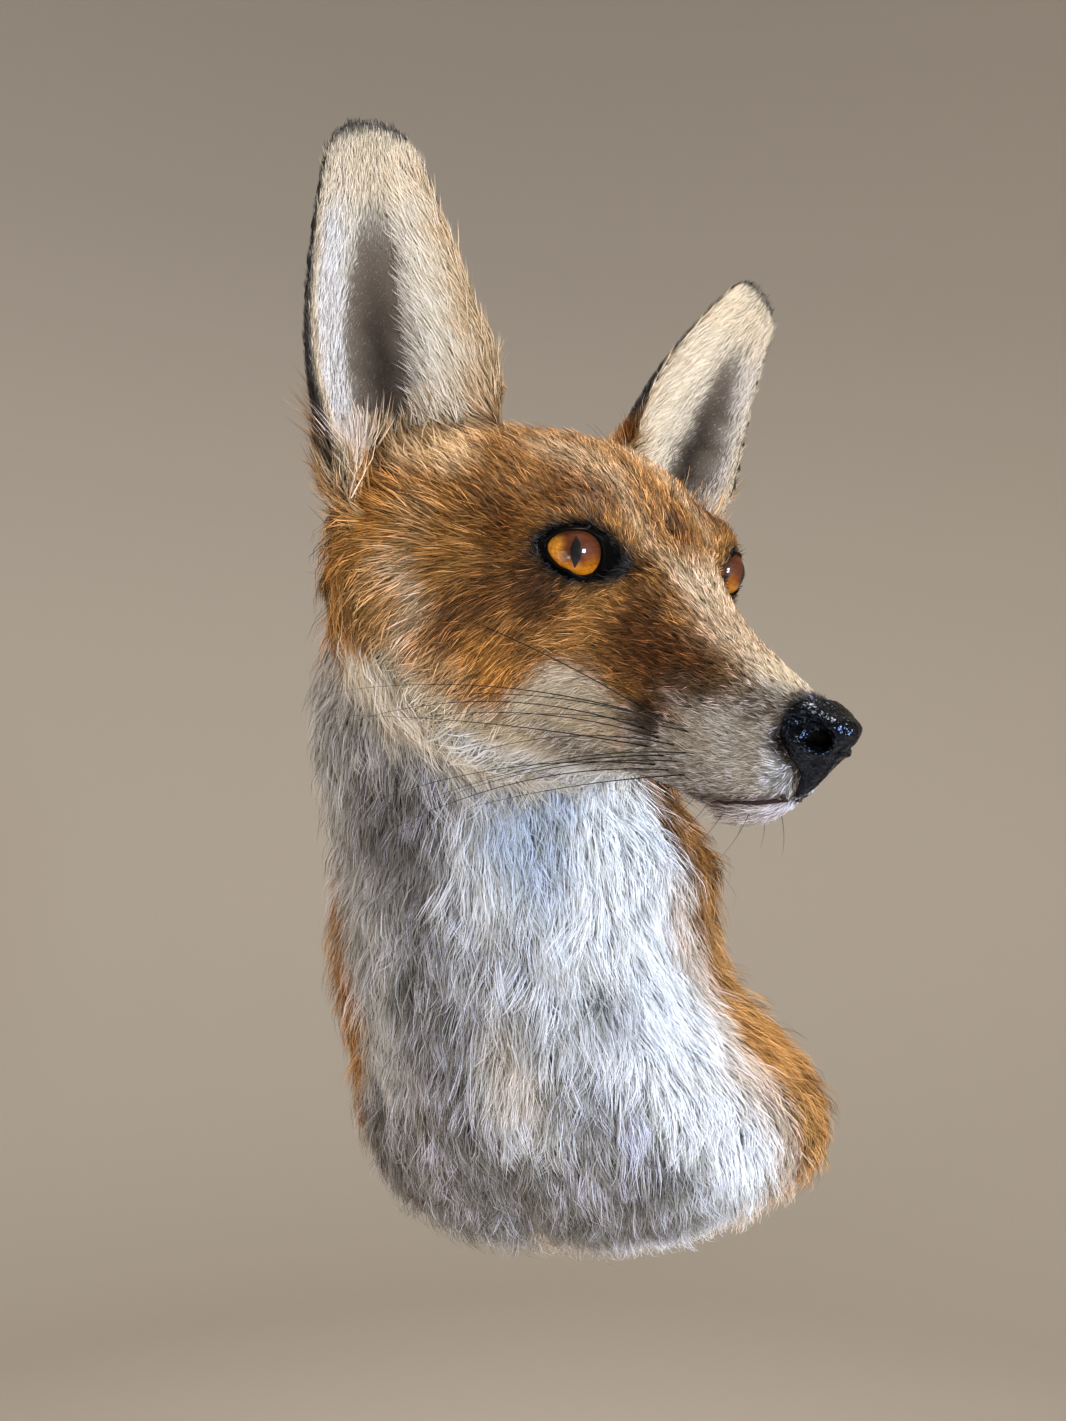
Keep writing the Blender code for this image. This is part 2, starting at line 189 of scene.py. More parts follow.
# Each light's name, place, target, size, power and colour.
LIGHTS = [
    ("window", (1.05, -0.95, 0.06), HEART, (0.3, 0.36), 27, (0.76, 0.89, 1.06)),
    ("lamp", (0.25, -0.35, 1.3), HEART, (0.3, 0.3), 15, (1.0, 0.88, 0.72)),
    ("warm_fill", (-0.85, -0.95, -0.30), HEART, (0.8, 0.8), 5.5, (1.0, 0.90, 0.78)),
    ("low_fill", (-0.30, -0.85, -0.35), (-0.01, -0.2, 0.13), (0.2, 0.2), 0.9, (0.95, 0.97, 1.0)),
    ("rim", (-0.6, 0.9, 0.8), HEART, (0.8, 0.8), 7, (1.0, 0.95, 0.88)),
]
SKY_COLOUR, SKY_STRENGTH = (1.0, 0.96, 0.91, 1), 0.20
# The stage: its floor's height, its reach, the radius of its bend, its top and its columns.
FLOOR, STAGE_REACH, STAGE_BEND, STAGE_TOP, STAGE_COLUMNS = -0.95, 3.0, 0.9, 3.2, 96
BEND_STEPS = 8
STAGE_COLOUR, STAGE_ROUGHNESS = (0.80, 0.73, 0.64), 0.9


def aimed(name, data, place, way):
    """An object at a place that faces some way, as cameras and lights do."""
    thing = bpy.data.objects.new(name, data)
    thing.location = place
    thing.rotation_mode = "QUATERNION"
    thing.rotation_quaternion = Vector(way).to_track_quat("-Z", "Y")
    bpy.context.scene.collection.objects.link(thing)
    return thing


def make_camera():
    data = bpy.data.cameras.new("camera")
    data.lens, data.sensor_width, data.clip_start = CAMERA_LENS, CAMERA_SENSOR, CLIP_START
    bpy.context.scene.camera = aimed("camera", data, CAMERA_PLACE, CAMERA_LOOK)


def make_lights():
    for name, place, target, size, power, colour in LIGHTS:
        data = bpy.data.lights.new(name, "AREA")
        data.shape = "RECTANGLE"
        data.size, data.size_y = size
        data.energy = power
        data.color = colour
        aimed(name, data, place, Vector(target) - Vector(place))
    world = bpy.data.worlds.new("world")
    world.use_nodes = True
    sky = world.node_tree.nodes["Background"]
    sky.inputs["Color"].default_value = SKY_COLOUR
    sky.inputs["Strength"].default_value = SKY_STRENGTH
    bpy.context.scene.world = world
    bpy.context.scene.view_settings.view_transform = "Standard"


def set_inputs(material, node, inputs):
    """Sets a node's inputs by name: another node's socket is linked, anything else is a value."""
    for name, value in inputs.items():
        if isinstance(value, bpy.types.NodeSocket):
            material.node_tree.links.new(value, node.inputs[name])
        else:
            node.inputs[name].default_value = value


def add_node(material, kind, inputs):
    node = material.node_tree.nodes.new("ShaderNode" + kind)
    set_inputs(material, node, inputs)
    return node


def finish_shader(material, inputs):
    set_inputs(material, material.node_tree.nodes["Principled BSDF"], inputs)


def new_material(name, roughness, inputs):
    material = bpy.data.materials.new(name)
    material.use_nodes = True
    finish_shader(material, {"Roughness": roughness, **inputs})
    return material


def object_place(material):
    return add_node(material, "TexCoord", {}).outputs["Object"]


def make_stage():
    """A pale floor that curves up into a backdrop all the way round."""
    bend_start = STAGE_REACH - STAGE_BEND
    profile = [(0.001, FLOOR), (bend_start, FLOOR)]
    for step in range(1, BEND_STEPS + 1):
        angle = math.pi / 2 * step / BEND_STEPS
        profile.append((bend_start + STAGE_BEND * math.sin(angle),
                        FLOOR + STAGE_BEND * (1 - math.cos(angle))))
    profile.append((STAGE_REACH, STAGE_TOP))
    shape = bmesh.new()
    columns = []
    for i in range(STAGE_COLUMNS):
        angle = 2 * math.pi * i / STAGE_COLUMNS
        c, s = math.cos(angle), math.sin(angle)
        columns.append([shape.verts.new((c * reach, s * reach, z)) for reach, z in profile])
    for left, right in zip(columns, columns[1:] + columns[:1]):
        for k in range(len(profile) - 1):
            shape.faces.new((left[k], right[k], right[k + 1], left[k + 1]))
    mesh = bpy.data.meshes.new("backdrop")
    shape.to_mesh(mesh)
    shape.free()
    mesh.shade_smooth()
    backdrop = bpy.data.objects.new("backdrop", mesh)
    backdrop.data.materials.append(
        new_material("backdrop", STAGE_ROUGHNESS, {"Base Color": (*STAGE_COLOUR, 1)}))
    bpy.context.scene.collection.objects.link(backdrop)


# ---------------------------------------------------------------- meshes from arrays


def mesh_arrays(mesh):
    """A mesh's points and triangles."""
    points = np.empty(len(mesh.vertices) * 3)
    mesh.vertices.foreach_get("co", points)
    mesh.calc_loop_triangles()
    triangles = np.empty(len(mesh.loop_triangles) * 3, np.int32)
    mesh.loop_triangles.foreach_get("vertices", triangles)
    return points.reshape(-1, 3), triangles.reshape(-1, 3)


def mesh_from(name, points, triangles):
    mesh = bpy.data.meshes.new(name)
    mesh.vertices.add(len(points))
    mesh.vertices.foreach_set("co", np.ascontiguousarray(points, np.float32).ravel())
    mesh.loops.add(len(triangles) * 3)
    mesh.loops.foreach_set("vertex_index", np.ascontiguousarray(triangles, np.int32).ravel())
    mesh.polygons.add(len(triangles))
    mesh.polygons.foreach_set("loop_start", np.arange(0, len(triangles) * 3, 3, dtype=np.int32))
    mesh.update(calc_edges=True)
    mesh.polygons.foreach_set("use_smooth", np.ones(len(triangles), bool))
    return mesh


def joined(parts):
    """Several lots of points and triangles as one."""
    starts = np.cumsum([0] + [len(p) for p, _ in parts])
    triangles = [t + start for (_, t), start in zip(parts, starts)]
    return np.concatenate([p for p, _ in parts]), np.concatenate(triangles)


def vertex_normals(points, triangles):
    a, b, c = (points[triangles[:, i]] for i in range(3))
    facets = np.cross(b - a, c - a)
    normals = np.zeros_like(points)
    for i in range(3):
        for axis in range(3):
            normals[:, axis] += np.bincount(triangles[:, i], facets[:, axis], len(points))
    return unit(normals)


def smoothed(values, edges, rounds):
    """Values at points, averaged with their neighbours' again and again."""
    values = np.array(values, float)
    flat = values.reshape(len(values), -1)
    degree = np.bincount(edges.ravel(), minlength=len(flat))[:, None]
    for _ in range(rounds):
        total = np.zeros_like(flat)
        for axis in range(flat.shape[1]):
            for here, there in ((0, 1), (1, 0)):
                total[:, axis] += np.bincount(edges[:, here], flat[edges[:, there], axis],
                                              len(flat))
        flat[:] = 0.5 * flat + 0.5 * total / np.maximum(degree, 1)
    return flat.reshape(values.shape)


def remeshed(name, points, triangles, voxel, rounds):
    """A mesh of these points and triangles after a voxel remesh and rounds of smoothing."""
    holder = bpy.data.objects.new(name, mesh_from(name, points, triangles))
    bpy.context.scene.collection.objects.link(holder)
    remesh = holder.modifiers.new("remesh", "REMESH")
    remesh.mode = "VOXEL"
    remesh.voxel_size = voxel
    settle = holder.modifiers.new("settle", "SMOOTH")
    settle.factor = 0.5
    settle.iterations = rounds
    bpy.context.view_layer.update()
    graph = bpy.context.evaluated_depsgraph_get()
    mesh = bpy.data.meshes.new_from_object(holder.evaluated_get(graph))
    bpy.data.objects.remove(holder, do_unlink=True)
    return mesh


def add_piece(name, geometry, colours, material, slot, *nodes):
    """A piece of points and triangles with a colour for each point, or one for all."""
    mesh = mesh_from(name, *geometry)
    layer = mesh.color_attributes.new("coat", "FLOAT_COLOR", "POINT")
    rgba = np.ones((len(mesh.vertices), 4), np.float32)
    rgba[:, :3] = colours
    layer.data.foreach_set("color", rgba.ravel())
    piece = bpy.data.objects.new(name, mesh)
    piece.data.materials.append(material)
    bpy.context.scene.collection.objects.link(piece)
    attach(piece, "root")
    if nodes:
        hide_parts(*nodes)
    return mesh


# ---------------------------------------------------------------- the skin

SKIN_VOXEL, SKIN_ROUNDS = 1.85 * MM, 4
DEPTH_ROUNDS, SINK_STEPS, BLEND_ROUNDS = 8, 3, 14
OUTLINE_STEPS, OUTLINE_ROUNDS = 240, 60
GAP_SWELL = 0.25  # closes the gaps between the solids
EAR_SWELL = 0.9  # keeps the ears' thin rims whole in the remesh, and the skin's depth undoes it
EAR_DEPTH = 0.65

# The opening between the lids, and the outer edge of the lids' bare skin, seen along the gaze:
# points towards the nose and up from the eye's axis.
LID_OPENING = [(7.2, -0.4), (6.3, 3.4), (3.2, 5.6), (-1.5, 5.4), (-5.7, 3.8), (-8.3, 0.2),
               (-5.7, -3.0), (-1.0, -4.8), (3.4, -5.9), (6.2, -4.4)]
LID_EDGE = [(14.6, -0.6), (11.6, 3.6), (7.4, 7.0), (1.5, 8.1), (-4.0, 7.0), (-9.2, 4.5),
            (-12.4, -0.3), (-9.0, -3.7), (-4.0, -6.3), (2.0, -7.7), (7.6, -6.9), (11.8, -4.0)]
LID_BLEND = 11.0  # how far beyond their edge the lids still lift the face

# The line where the lips meet, from the corner of the mouth to its front, in x, z.
MOUTH_LINE = [(18, -56), (26, -57.5), (40, -57), (55, -54.5), (68, -50), (75, -46.5)]
# The lower edge of the nose's leather, as distance from the middle and height, and its back
# edge, as height and x.
LEATHER_LOW = [(0, -52), (1.1, -48), (2.1, -44), (3.2, -40.5), (4.8, -37.8), (8, -35.4),
               (11, -33.2)]
LEATHER_BACK = [(-45, 76), (-38, 75), (-31, 71.5), (-25, 73), (-20.5, 75)]
# Forms of the face: how far they stand proud, their middle and their radii.
BROW = 1.5, (-6, 22, 16), (13, 10, 9)
TEAR_HOLLOW = 1.2, (17, 16, -8), (9, 7, 9)
WHISKER_PAD = 1.4, (50, 15, -40), (15, 8, 11)
NOSE_SINK = np.array((2.8, 0, 1.0))  # how the skin draws back under the nose's own piece
# Where the furrow, the lobes and the tuft of the chest lie from side to side.
CHEST_FURROW, CHEST_LOBES, TUFT_X = -10, (-48, 44), -2
# How deep the skin lies under the tips of the coat: on the face by x and on the body by height.
FACE_DEPTH = [(80, 0.6), (60, 0.9), (25, 1.5), (0, 2.6), (-30, 5.0), (-60, 8.0)]
BODY_DEPTH = [(-80, 9.0), (-30, 11.0), (100, 12.0), (240, 9.0)]
WALL_DEPTH = 2.0


def closed_reach(outline, angle):
    """How far a closed outline reaches from its middle, at some angles round it."""
    outline = np.array(outline)
    knots = np.arctan2(outline[:, 1], outline[:, 0])
    order = np.argsort(knots)
    fine = np.linspace(-math.pi, math.pi, OUTLINE_STEPS, endpoint=False)
    reach = np.interp(fine, knots[order], np.hypot(*outline.T)[order], period=2 * math.pi)
    for _ in range(OUTLINE_ROUNDS):
        reach = (np.roll(reach, 1) + 2 * reach + np.roll(reach, -1)) / 4
    return np.interp(angle, fine, reach, period=2 * math.pi)


def round_eye(p, eye):
    """Round an eye: the reach from its axis, share of the lids' edge, angle and way in front."""
    rel = p - eye.middle
    across, rise = rel @ eye.inward, rel @ eye.upward
    angle = np.arctan2(rise, across)
    reach = np.hypot(across, rise)
    return reach, reach / closed_reach(LID_EDGE, angle), angle, rel @ eye.gaze


def lid_share(p, start, end):
    """1 at either eye, within the start share of its lids' edge, and 0 beyond the end share."""
    share = np.zeros(len(p))
    for eye in EYES:
        _, ratio, _, out = round_eye(p, eye)
        share = np.maximum(share, (1 - ease(start, end, ratio)) * ((out > -5) & (out < 16)))
    return share


def leather_share(p):
    """1 on the bare leather of the nose and 0 on the furred muzzle round it."""
    low = along(np.abs(p[:, 1]), LEATHER_LOW)
    back = along(p[:, 2], LEATHER_BACK)
    return ease(-0.5, 0.5, np.minimum(p[:, 2] - low, p[:, 0] - back))


def flesh_mesh():
    """The flesh solids made one closed skin, a tree of them, and the region of each triangle."""
    parts, region = [], []
    for node in [*FLESH, *SOCKET_FILLERS]:
        p, t = mesh_arrays(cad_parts[node].data)
        swell = EAR_SWELL if node.startswith("ear") else GAP_SWELL
        parts.append((p + vertex_normals(p, t) * swell * MM, t))
        region += [FLESH.get(node, HEAD_REGION)] * len(t)
    points, triangles = joined(parts)
    tree = BVHTree.FromPolygons(points.tolist(), triangles.tolist())
    mesh = remeshed("flesh", points, triangles, SKIN_VOXEL, SKIN_ROUNDS)
    return mesh, tree, np.array(region)


def coat_depth(points, region):
    """How deep the skin lies under the tips of the coat, in millimetres."""
    p = to_head(points)
    underside = ease(-50, -62, p[:, 2]) * ease(60, 20, p[:, 0])
    face = along(p[:, 0], FACE_DEPTH) + 1.5 * underside
    face = np.where(p[:, 0] > 68, 0.6 + 1.8 * leather_share(p), face)
    body = along(points[:, 2] / MM, BODY_DEPTH)
    at_wall = ease(-30, -2, points[:, 1] / MM)
    body = body * (1 - at_wall) + WALL_DEPTH * at_wall
    depth = np.where(region == BODY_REGION, body, face)
    return np.where(region >= LEFT_EAR, EAR_SWELL + EAR_DEPTH, depth)


def form(p, shape):
    """How far one of the face's forms lifts each point, as a column."""
    height, middle, radii = shape
    return (height * blob(p, middle, radii))[:, None]


def sculpt(p):
    """Moves points of the face, in the head's axes: lids, brows, tear hollows, pads and lips."""
    for eye in EYES:
        reach, ratio, angle, out = round_eye(p, eye)
        near = (out > -9) & (out < 16) & (reach < 30)
        level = 5.3 + 1.4 * np.cos(angle) - 1.0 * np.sin(angle)
        beyond = np.maximum(reach * (1 - 1 / np.maximum(ratio, 1e-3)), 0)
        target = level - 0.30 * beyond - 3.6 * (1 - ease(0.72, 1.0, ratio))
        share = (1 - ease(0, LID_BLEND, beyond)) * near
        p = p + eye.gaze * (share * (target - out))[:, None]
    p = p - NOSE_SINK * leather_share(p)[:, None]
    side, zero = np.sign(p[:, 1]), np.zeros(len(p))
    sideways = np.stack([zero, side, zero], 1)
    p = p + unit(np.stack([zero + 0.3, side, zero + 0.6], 1)) * form(p, BROW)
    p = p - sideways * form(p, TEAR_HOLLOW)
    p = p + sideways * form(p, WHISKER_PAD)
    above = p[:, 2] - along(p[:, 0], MOUTH_LINE)
    groove = 0.8 * bell(above - 4, 3) - 1.4 * bell(above, 1.5)
    on_mouth = ease(16, 22, p[:, 0]) * ease(78, 72, p[:, 0])
    return p + sideways * (groove * on_mouth)[:, None]


def chest_form(points):
    """How far the breast swells, in millimetres: two lobes with a furrow between them below."""
    x, y, z = points.T / MM
    furrow = bell(x - CHEST_FURROW, 9) * ease(10, -35, z)
    lobes = sum(bell(x - middle, 32) for middle in CHEST_LOBES) * ease(30, -25, z)
    return (2.0 * lobes * ease(-78, -50, z) - 5.0 * furrow) * ease(-20, -60, y)


def make_skin():
    mesh, tree, node_region = flesh_mesh()
    points, triangles = mesh_arrays(mesh)
    edges = np.empty(len(mesh.edges) * 2, np.int32)
    mesh.edges.foreach_get("vertices", edges)
    edges = edges.reshape(-1, 2)
    region = node_region[[tree.find_nearest(Vector(p))[2] for p in points]]
    depth = smoothed(coat_depth(points, region), edges, DEPTH_ROUNDS)
    body, head = region == BODY_REGION, region == HEAD_REGION
    for _ in range(SINK_STEPS):
        normals = smoothed(vertex_normals(points, triangles), edges, 2)
        points = points - unit(normals) * (depth * MM / SINK_STEPS)[:, None]
        points = np.where(body[:, None], smoothed(points, edges, 2), points)
    points = points + unit(normals) * (chest_form(points) * body)[:, None] * MM
    points[head] = from_head(sculpt(to_head(points[head])))
    normals = vertex_normals(points, triangles)
    shares = smoothed(np.eye(4)[region], edges, BLEND_ROUNDS)
    inside = np.zeros(len(points))
    for ear in EARS:
        facing = normals @ (HEAD_ROTATION @ ear.front)
        inside += ease(-0.12, 0.12, facing) * (region == ear.region)
    inside = smoothed(inside, edges, 3)
    tree = BVHTree.FromPolygons(points.tolist(), triangles.tolist())
    return Skin(points, triangles, normals, edges, region, shares, inside, depth, tree)


# ---------------------------------------------------------------- the markings

RUSSET = np.array((0.30, 0.138, 0.034))
TAN = np.array((0.52, 0.33, 0.16))
ORANGE = np.array((0.54, 0.235, 0.045))
GOLD = np.array((0.74, 0.52, 0.29))
CREAM = np.array((0.76, 0.64, 0.47))
WHITE = np.array((0.88, 0.88, 0.89))
UMBER = np.array((0.095, 0.034, 0.008))
BEIGE_GREY = np.array((0.56, 0.515, 0.46))
BLACK = np.array((0.008, 0.007, 0.008))
BREAST_GREY = np.array((0.33, 0.305, 0.29))
EAR_UMBER_AND_SHADE = np.array((0.050, 0.028, 0.015))
EAR_BEIGE = np.array((0.30, 0.22, 0.155))
LILAC = np.array((0.86, 0.80, 0.78))
# painted light: the bluish cast of the window on white fur
WINDOW_LIGHT_BLUE = np.array((0.66, 0.78, 0.96))
SMOKE = np.array((0.120, 0.078, 0.045))
# grey underfur, also used as painted shade on the chest
UNDERFUR_AND_SHADE = np.array((0.150, 0.135, 0.125))
CHIN_GREY, CHIN_PINK, MOUTH_SKIN = (0.36, 0.31, 0.29), (0.76, 0.70, 0.74), (0.07, 0.03, 0.025)
RUSTY_SIDE, SHADED_BREAST = (0.37, 0.19, 0.055), (0.120, 0.102, 0.085)
CREAMY_TUFT = (0.66, 0.55, 0.46)

# The lower edge of the tan on the muzzle's side, and of the orange on the cheek, in x, z.
MUZZLE_EDGE = [(24, -38), (32, -39), (46, -32), (56, -25), (66, -21), (72, -18)]
CHEEK_EDGE = [(24, -37), (16, -31), (9, -28), (3, -33), (-3, -40), (-10, -51), (-20, -53),
              (-31, -47), (-42, -43), (-56, -50), (-80, -64), (-101, -62), (-140, -56)]
# Where the bib ends on the fox's right and left: height, and bearing round the neck from
# straight ahead.
BIB_RIGHT_EDGE = [(240, -110), (110, -85), (90, -60), (75, -47), (15, -47), (-20, -70),
                  (-75, -80)]
BIB_LEFT_EDGE = [(240, 62), (140, 62), (110, 60), (66, 64), (40, 62), (18, 59), (0, 59),
                 (-23, 66), (-75, 66)]
# The middle of the neck and chest at a few heights, as height and x, and as height and y.
BODY_X = [(-75, -8), (-18, 7), (50, -9), (85, -17), (120, -20), (152, -19), (206, -15)]
BODY_Y = [(-75, -8), (-18, -44), (50, -66), (85, -84), (120, -104), (152, -124), (206, -142)]

# Soft spots of colour on both sides of the head, painted in turn over the russet: shade,
# strength, middle and radii. Some of the dark ones are partly painted shade.
HEAD_SPOTS = [
    (TAN, 0.40, (-40, 14, 36), (22, 22, 18)),  # the crown
    (UMBER, 0.35, (-34, 40, 20), (8, 8, 8)),
    (TAN, 0.35, (-17, 10, 27), (12, 8, 8)),
    (GOLD, 0.35, (-14, 15, 23), (9, 8, 7)),
    (CREAM, 0.25, (-31, 17, 29), (15, 12, 10)),
    (ORANGE, 0.65, (-56, 71, -4), (18, 14, 20)),  # the temple and the cheek's back
    (GOLD, 0.20, (-41, 61, 3), (11, 7, 15)),
    ((0.41, 0.225, 0.08), 0.80, (-42, 67, -27), (15, 10, 20)),
    (RUSSET * 0.75, 0.50, (-46, 70, -6), (9, 9, 9)),
    (ORANGE * 0.78, 0.90, (-12, 45, -37), (17, 14, 13)),  # the cheek
    (GOLD, 0.35, (-26, 52, -44), (14, 12, 9)),
    (UMBER, 0.66, (-25, 43, 6), (14, 9, 18)),  # behind the eye
    (UMBER, 0.80, (-15, 47, -18), (12, 9, 12)),
    # the brow: partly a dark marking, partly painted shade
    (UMBER, 0.70, (-10, 25, 16), (18, 17, 11)),  # the brow
    # under the eye: a dark marking, deepened with painted shade
    (UMBER * 0.75, 0.90, (-7, 38, -8), (7, 7, 15)),  # under the eye
    (UMBER, 0.85, (-21, 56, -28), (6, 7, 14)),  # before the crest of the cheek
    (UMBER, 0.90, (8, 0, 12), (14, 6, 8)),  # between the pale lines
    (UMBER, 0.75, (22, 17, -9), (9, 7, 7)),  # before the eye
    (UMBER * 0.6, 0.85, (13, 19, -1), (7, 7, 7)),
    (UMBER, 0.45, (-3, 40, -27), (9, 8, 8)),
    (UMBER * 0.7, 0.90, (0, 36, -15), (9, 7, 8)),
    # these five spots darken the muzzle's side: partly a marking, partly painted shade on the side
    # turned from the light
    (UMBER, 0.92, (27, 20, -20), (18, 9, 13)),  # the muzzle's side
    (UMBER, 0.88, (40, 15, -22), (17, 8, 12)),
    (UMBER, 0.55, (54, 12, -21), (11, 6, 7)),
    (SMOKE, 0.80, (45, 16, -29), (14, 8, 7)),
    (SMOKE, 0.45, (58, 12, -24), (9, 7, 5)),
    (GOLD, 0.75, (-47, 48, 21), (10, 10, 10)),  # tufts before the ear
    (GOLD * 1.15, 0.95, (-62, 52, 31), (15, 26, 21)),
]
# More spots, over the grey of the muzzle.
MUZZLE_SPOTS = [
    (UMBER * 0.4, 0.85, (33, 19, -39), (7, 7, 8)),
    ((0.20, 0.12, 0.05), 0.60, (55, 12, -22.5), (10, 5, 5)),
    ((0.10, 0.072, 0.048), 0.60, (64, 11, -25), (6, 6, 6)),
    (BREAST_GREY, 0.55, (48, 15, -49), (22, 12, 6)),
    ((0.30, 0.27, 0.25), 0.70, (72, 6, -42), (6, 6, 6)),
]
PALE_LINE = [(-14, 10, 25), (0, 13, 14), (12, 12, 7), (20, 8, 1), (30, 6, -6)]
# The crest on the cheek where the hair of the face meets the ruff, and the ruff's lower edge.
CREST = [(-40, 67, -14), (-35, 64, -16), (-29, 60, -24), (-32, 62, -33), (-38, 64, -42)]
RUFF_EDGE = [(10, -62), (-20, -80), (-46, -92), (-56, -88), (-70, -80), (-85, -76), (-101, -70),
             (-118, -66)]
# Soft patches of grey underfur and painted shade on the chest: shade, strength, and middle and
# radii in degrees round and in height.
CHEST_GREY_AND_SHADE_PATCHES = [
    (UNDERFUR_AND_SHADE * 0.8, 0.90, (-22, 110), (26, 24)),  # in the shade of the ruff
    (UNDERFUR_AND_SHADE, 0.75, (-16, 66), (16, 46)),
    (UNDERFUR_AND_SHADE, 0.85, (-21, 12), (13, 40)),
    (UNDERFUR_AND_SHADE, 0.55, (-4, 38), (9, 24)),
    (UNDERFUR_AND_SHADE, 0.65, (8, 64), (10, 18)),
    (UNDERFUR_AND_SHADE, 0.62, (9, 38), (8, 13)),
    (UNDERFUR_AND_SHADE, 0.62, (25, 44), (10, 15)),
    (UNDERFUR_AND_SHADE, 0.72, (15, 10), (15, 22)),
    (UNDERFUR_AND_SHADE, 0.88, (24, -18), (19, 15)),
    (UNDERFUR_AND_SHADE, 0.80, (38, -42), (22, 13)),
    (UNDERFUR_AND_SHADE, 0.40, (30, 104), (7, 18)),
    # painted bluish window light and painted shade of the head on the throat
    (WINDOW_LIGHT_BLUE * 0.50, 0.78, (18, 100), (15, 28)),
    (WINDOW_LIGHT_BLUE * 0.42, 0.70, (31, 122), (12, 14)),
    ((0.46, 0.36, 0.24), 0.60, (0, 24), (8, 26)),
    ((0.13, 0.105, 0.08), 0.60, (6, -12), (12, 11)),
]
# Half the breadth of an ear's cup, by the share of its height.
EAR_HALF = [(0, 24), (0.2, 29), (0.38, 31), (0.56, 27.5), (0.72, 22.5), (0.84, 18.5),
            (0.93, 14.8), (0.98, 10), (1, 5)]


def paint(base, *layers):
    """Colours with others painted over them in turn, each a shade and its share of each point."""
    for shade, share in layers:
        share = np.clip(share, 0, 1)[:, None]
        base = base * (1 - share) + np.asarray(shade) * share
    return base


def spotted(p, spots):
    """Layers of paint for soft spots."""
    return [(shade, strength * blob(p, middle, radii)) for shade, strength, middle, radii in spots]


def body_angle(points):
    """The bearing round the neck or chest, in degrees from the front, to the fox's left."""
    x, y, height = points.T / MM
    return np.degrees(np.arctan2(x - along(height, BODY_X), along(height, BODY_Y) - y))


def head_colours(p):
    """Markings of the head, some dark ones partly painted shade, at points in its axes."""
    x, y, z = p.T
    folded, wobble = one_sided(p), waviness(p, 14, 3)
    colour = paint(np.tile(RUSSET, (len(p), 1)), *spotted(p, HEAD_SPOTS))
    pale = 0.36 * bell(near_line(folded, PALE_LINE) + 1.2 * wobble, 3.0)
    crest = 0.54 * bell(near_line(folded, CREST) + 1.5 * wobble, 3.5)
    colour = paint(colour, (TAN * 0.6 + CREAM * 0.4, pale), (CREAM, crest))
    colour = colour * np.exp(0.30 * waviness(p, 8, 4))[:, None]
    ridge = ease(13, 6, np.abs(y) + 2 * wobble) * ease(12, 26, x) * ease(-16, -2, z + x * 0.22)
    grey = ease(7, -6, z - along(x, MUZZLE_EDGE) + 4.0 * wobble) * ease(20, 30, x)
    cheek = ease(4, -5, z - along(x, CHEEK_EDGE) + 3.5 * wobble) * ease(28, 20, x)
    corner = ease(-48, -53, z) * ease(-12, 0, x)
    under = ease(-61, -66, z) * ease(70, 50, x)
    above = z - along(x, MOUTH_LINE)
    chin = ease(0.5, -1.5, above) * ease(22, 34, x)
    lip = bell(above, 1.2) * ease(18, 24, x) * ease(76, 72, x)
    from_nose = np.abs(y) * 0.25 + 2.2 * np.maximum(0, -34.5 - z) + (75 - x) + 1.5 * wobble
    return paint(
        colour,
        (CREAM, ridge * (0.50 + 0.5 * ease(44, 62, x))),
        (BEIGE_GREY, grey),
        (CREAM * 0.78 + WHITE * 0.06, cheek),
        (BEIGE_GREY * 0.55, 0.75 * corner * np.maximum(cheek, grey)),
        *spotted(p, MUZZLE_SPOTS),
        (WHITE, under),
        (CHIN_GREY, 0.85 * chin),
        (CHIN_PINK, chin * ease(54, 66, x)),
        (MOUTH_SKIN, 0.9 * lip),
        (BLACK * 3, ease(12, 3, from_nose) * ease(66, 71, x)),
        (BLACK, leather_share(p)),
        (BLACK, lid_share(p + 0.3 * wobble[:, None], 1.05, 1.28)),
    )


